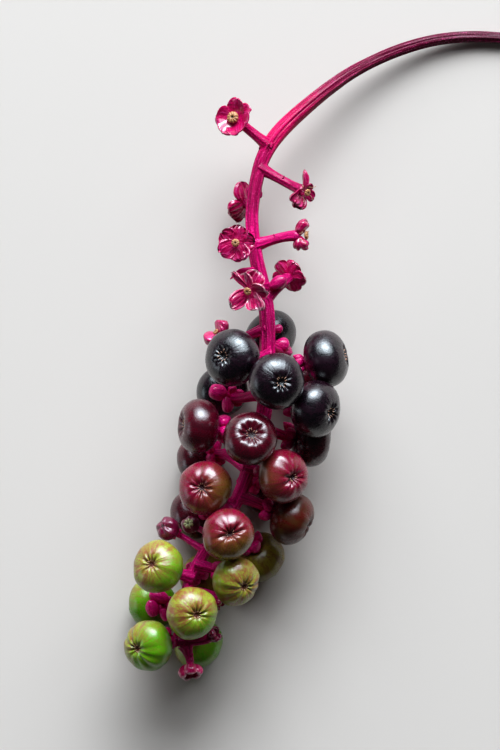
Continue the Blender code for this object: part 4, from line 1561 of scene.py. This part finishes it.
@dataclass
class Studio:
    """The pale floor, the soft lights and the camera."""

    # The photograph's centre on the object, the camera's height, and its focal length and sensor in mm
    centre: tuple[float, float] = (-0.01334, -0.0040)
    camera_height: float = 0.900
    focal_length: float = 236.5
    sensor: float = 36.0
    # The height of the point that the lights face
    middle: float = 0.013
    floor_size: float = 3.0
    floor_colour: Colour = (0.600, 0.520, 0.475)
    lamp_colour: Colour = (0.80, 0.92, 1.0)
    sky_colour: Colour = (0.9, 0.95, 1.0)
    sky_strength: float = 0.04
    boxes: tuple[SoftBox, ...] = (
        SoftBox("key", (0.12, 1.25, 0.82), (2.30, 1.50), 44.0),
        SoftBox("core", (0.11, 1.19, 0.78), (0.95, 0.62), 20.0),
        SoftBox("rim", (-1.50, -0.20, 0.32), (1.00, 0.60), 2.5),
    )

    def floor(self) -> None:
        """Lays the plain pale floor that the cluster rests on."""
        half = self.floor_size / 2.0
        corners = [(-half, -half, 0.0), (half, -half, 0.0), (half, half, 0.0), (-half, half, 0.0)]
        mesh = bpy.data.meshes.new("floor")
        mesh.from_pydata(corners, [], [(0, 1, 2, 3)])
        paint = Paint("floor")
        mesh.materials.append(paint.close({"Base Color": opaque(self.floor_colour), "Roughness": 0.9}))
        floor = bpy.data.objects.new("floor", mesh)
        bpy.context.scene.collection.objects.link(floor)

    def hang(self, box: SoftBox) -> None:
        """Hangs a soft box so that it faces the cluster.

        Args:
            box: The light.
        """
        lamp = bpy.data.lights.new(box.name, "AREA")
        lamp.shape, lamp.size, lamp.size_y, lamp.energy = "ELLIPSE", *box.size, box.watts
        lamp.color = self.lamp_colour
        hung = bpy.data.objects.new(box.name, lamp)
        target = Vector((*self.centre, self.middle))
        hung.location = target + Vector(box.place)
        hung.rotation_euler = (target - hung.location).to_track_quat("-Z", "Y").to_euler()
        bpy.context.scene.collection.objects.link(hung)

    def camera(self) -> None:
        """Sets the camera straight above, as the photograph was taken."""
        lens = bpy.data.cameras.new("camera")
        lens.lens, lens.sensor_width = self.focal_length, self.sensor
        lens.clip_start, lens.clip_end = 0.01, 10.0
        camera = bpy.data.objects.new("camera", lens)
        camera.location = (*self.centre, self.camera_height)
        bpy.context.scene.collection.objects.link(camera)
        bpy.context.scene.camera = camera

    def build(self) -> None:
        """Makes the whole studio."""
        self.floor()
        for box in self.boxes:
            self.hang(box)
        world = bpy.data.worlds.new("studio")
        world.use_nodes = True
        sky = world.node_tree.nodes["Background"].inputs
        sky["Color"].default_value = opaque(self.sky_colour)
        sky["Strength"].default_value = self.sky_strength
        bpy.context.scene.world = world
        bpy.context.scene.view_settings.view_transform = "Standard"
        bpy.context.scene.view_settings.look = "Medium High Contrast"
        self.camera()
        log.info("studio: floor, %d lights, camera", len(self.boxes))


def main() -> None:
    """Builds the cluster and the studio."""
    logging.basicConfig(level=logging.INFO, format="%(name)s %(message)s")
    Cluster().build()
    Studio().build()


if __name__ == "__main__":
    main()
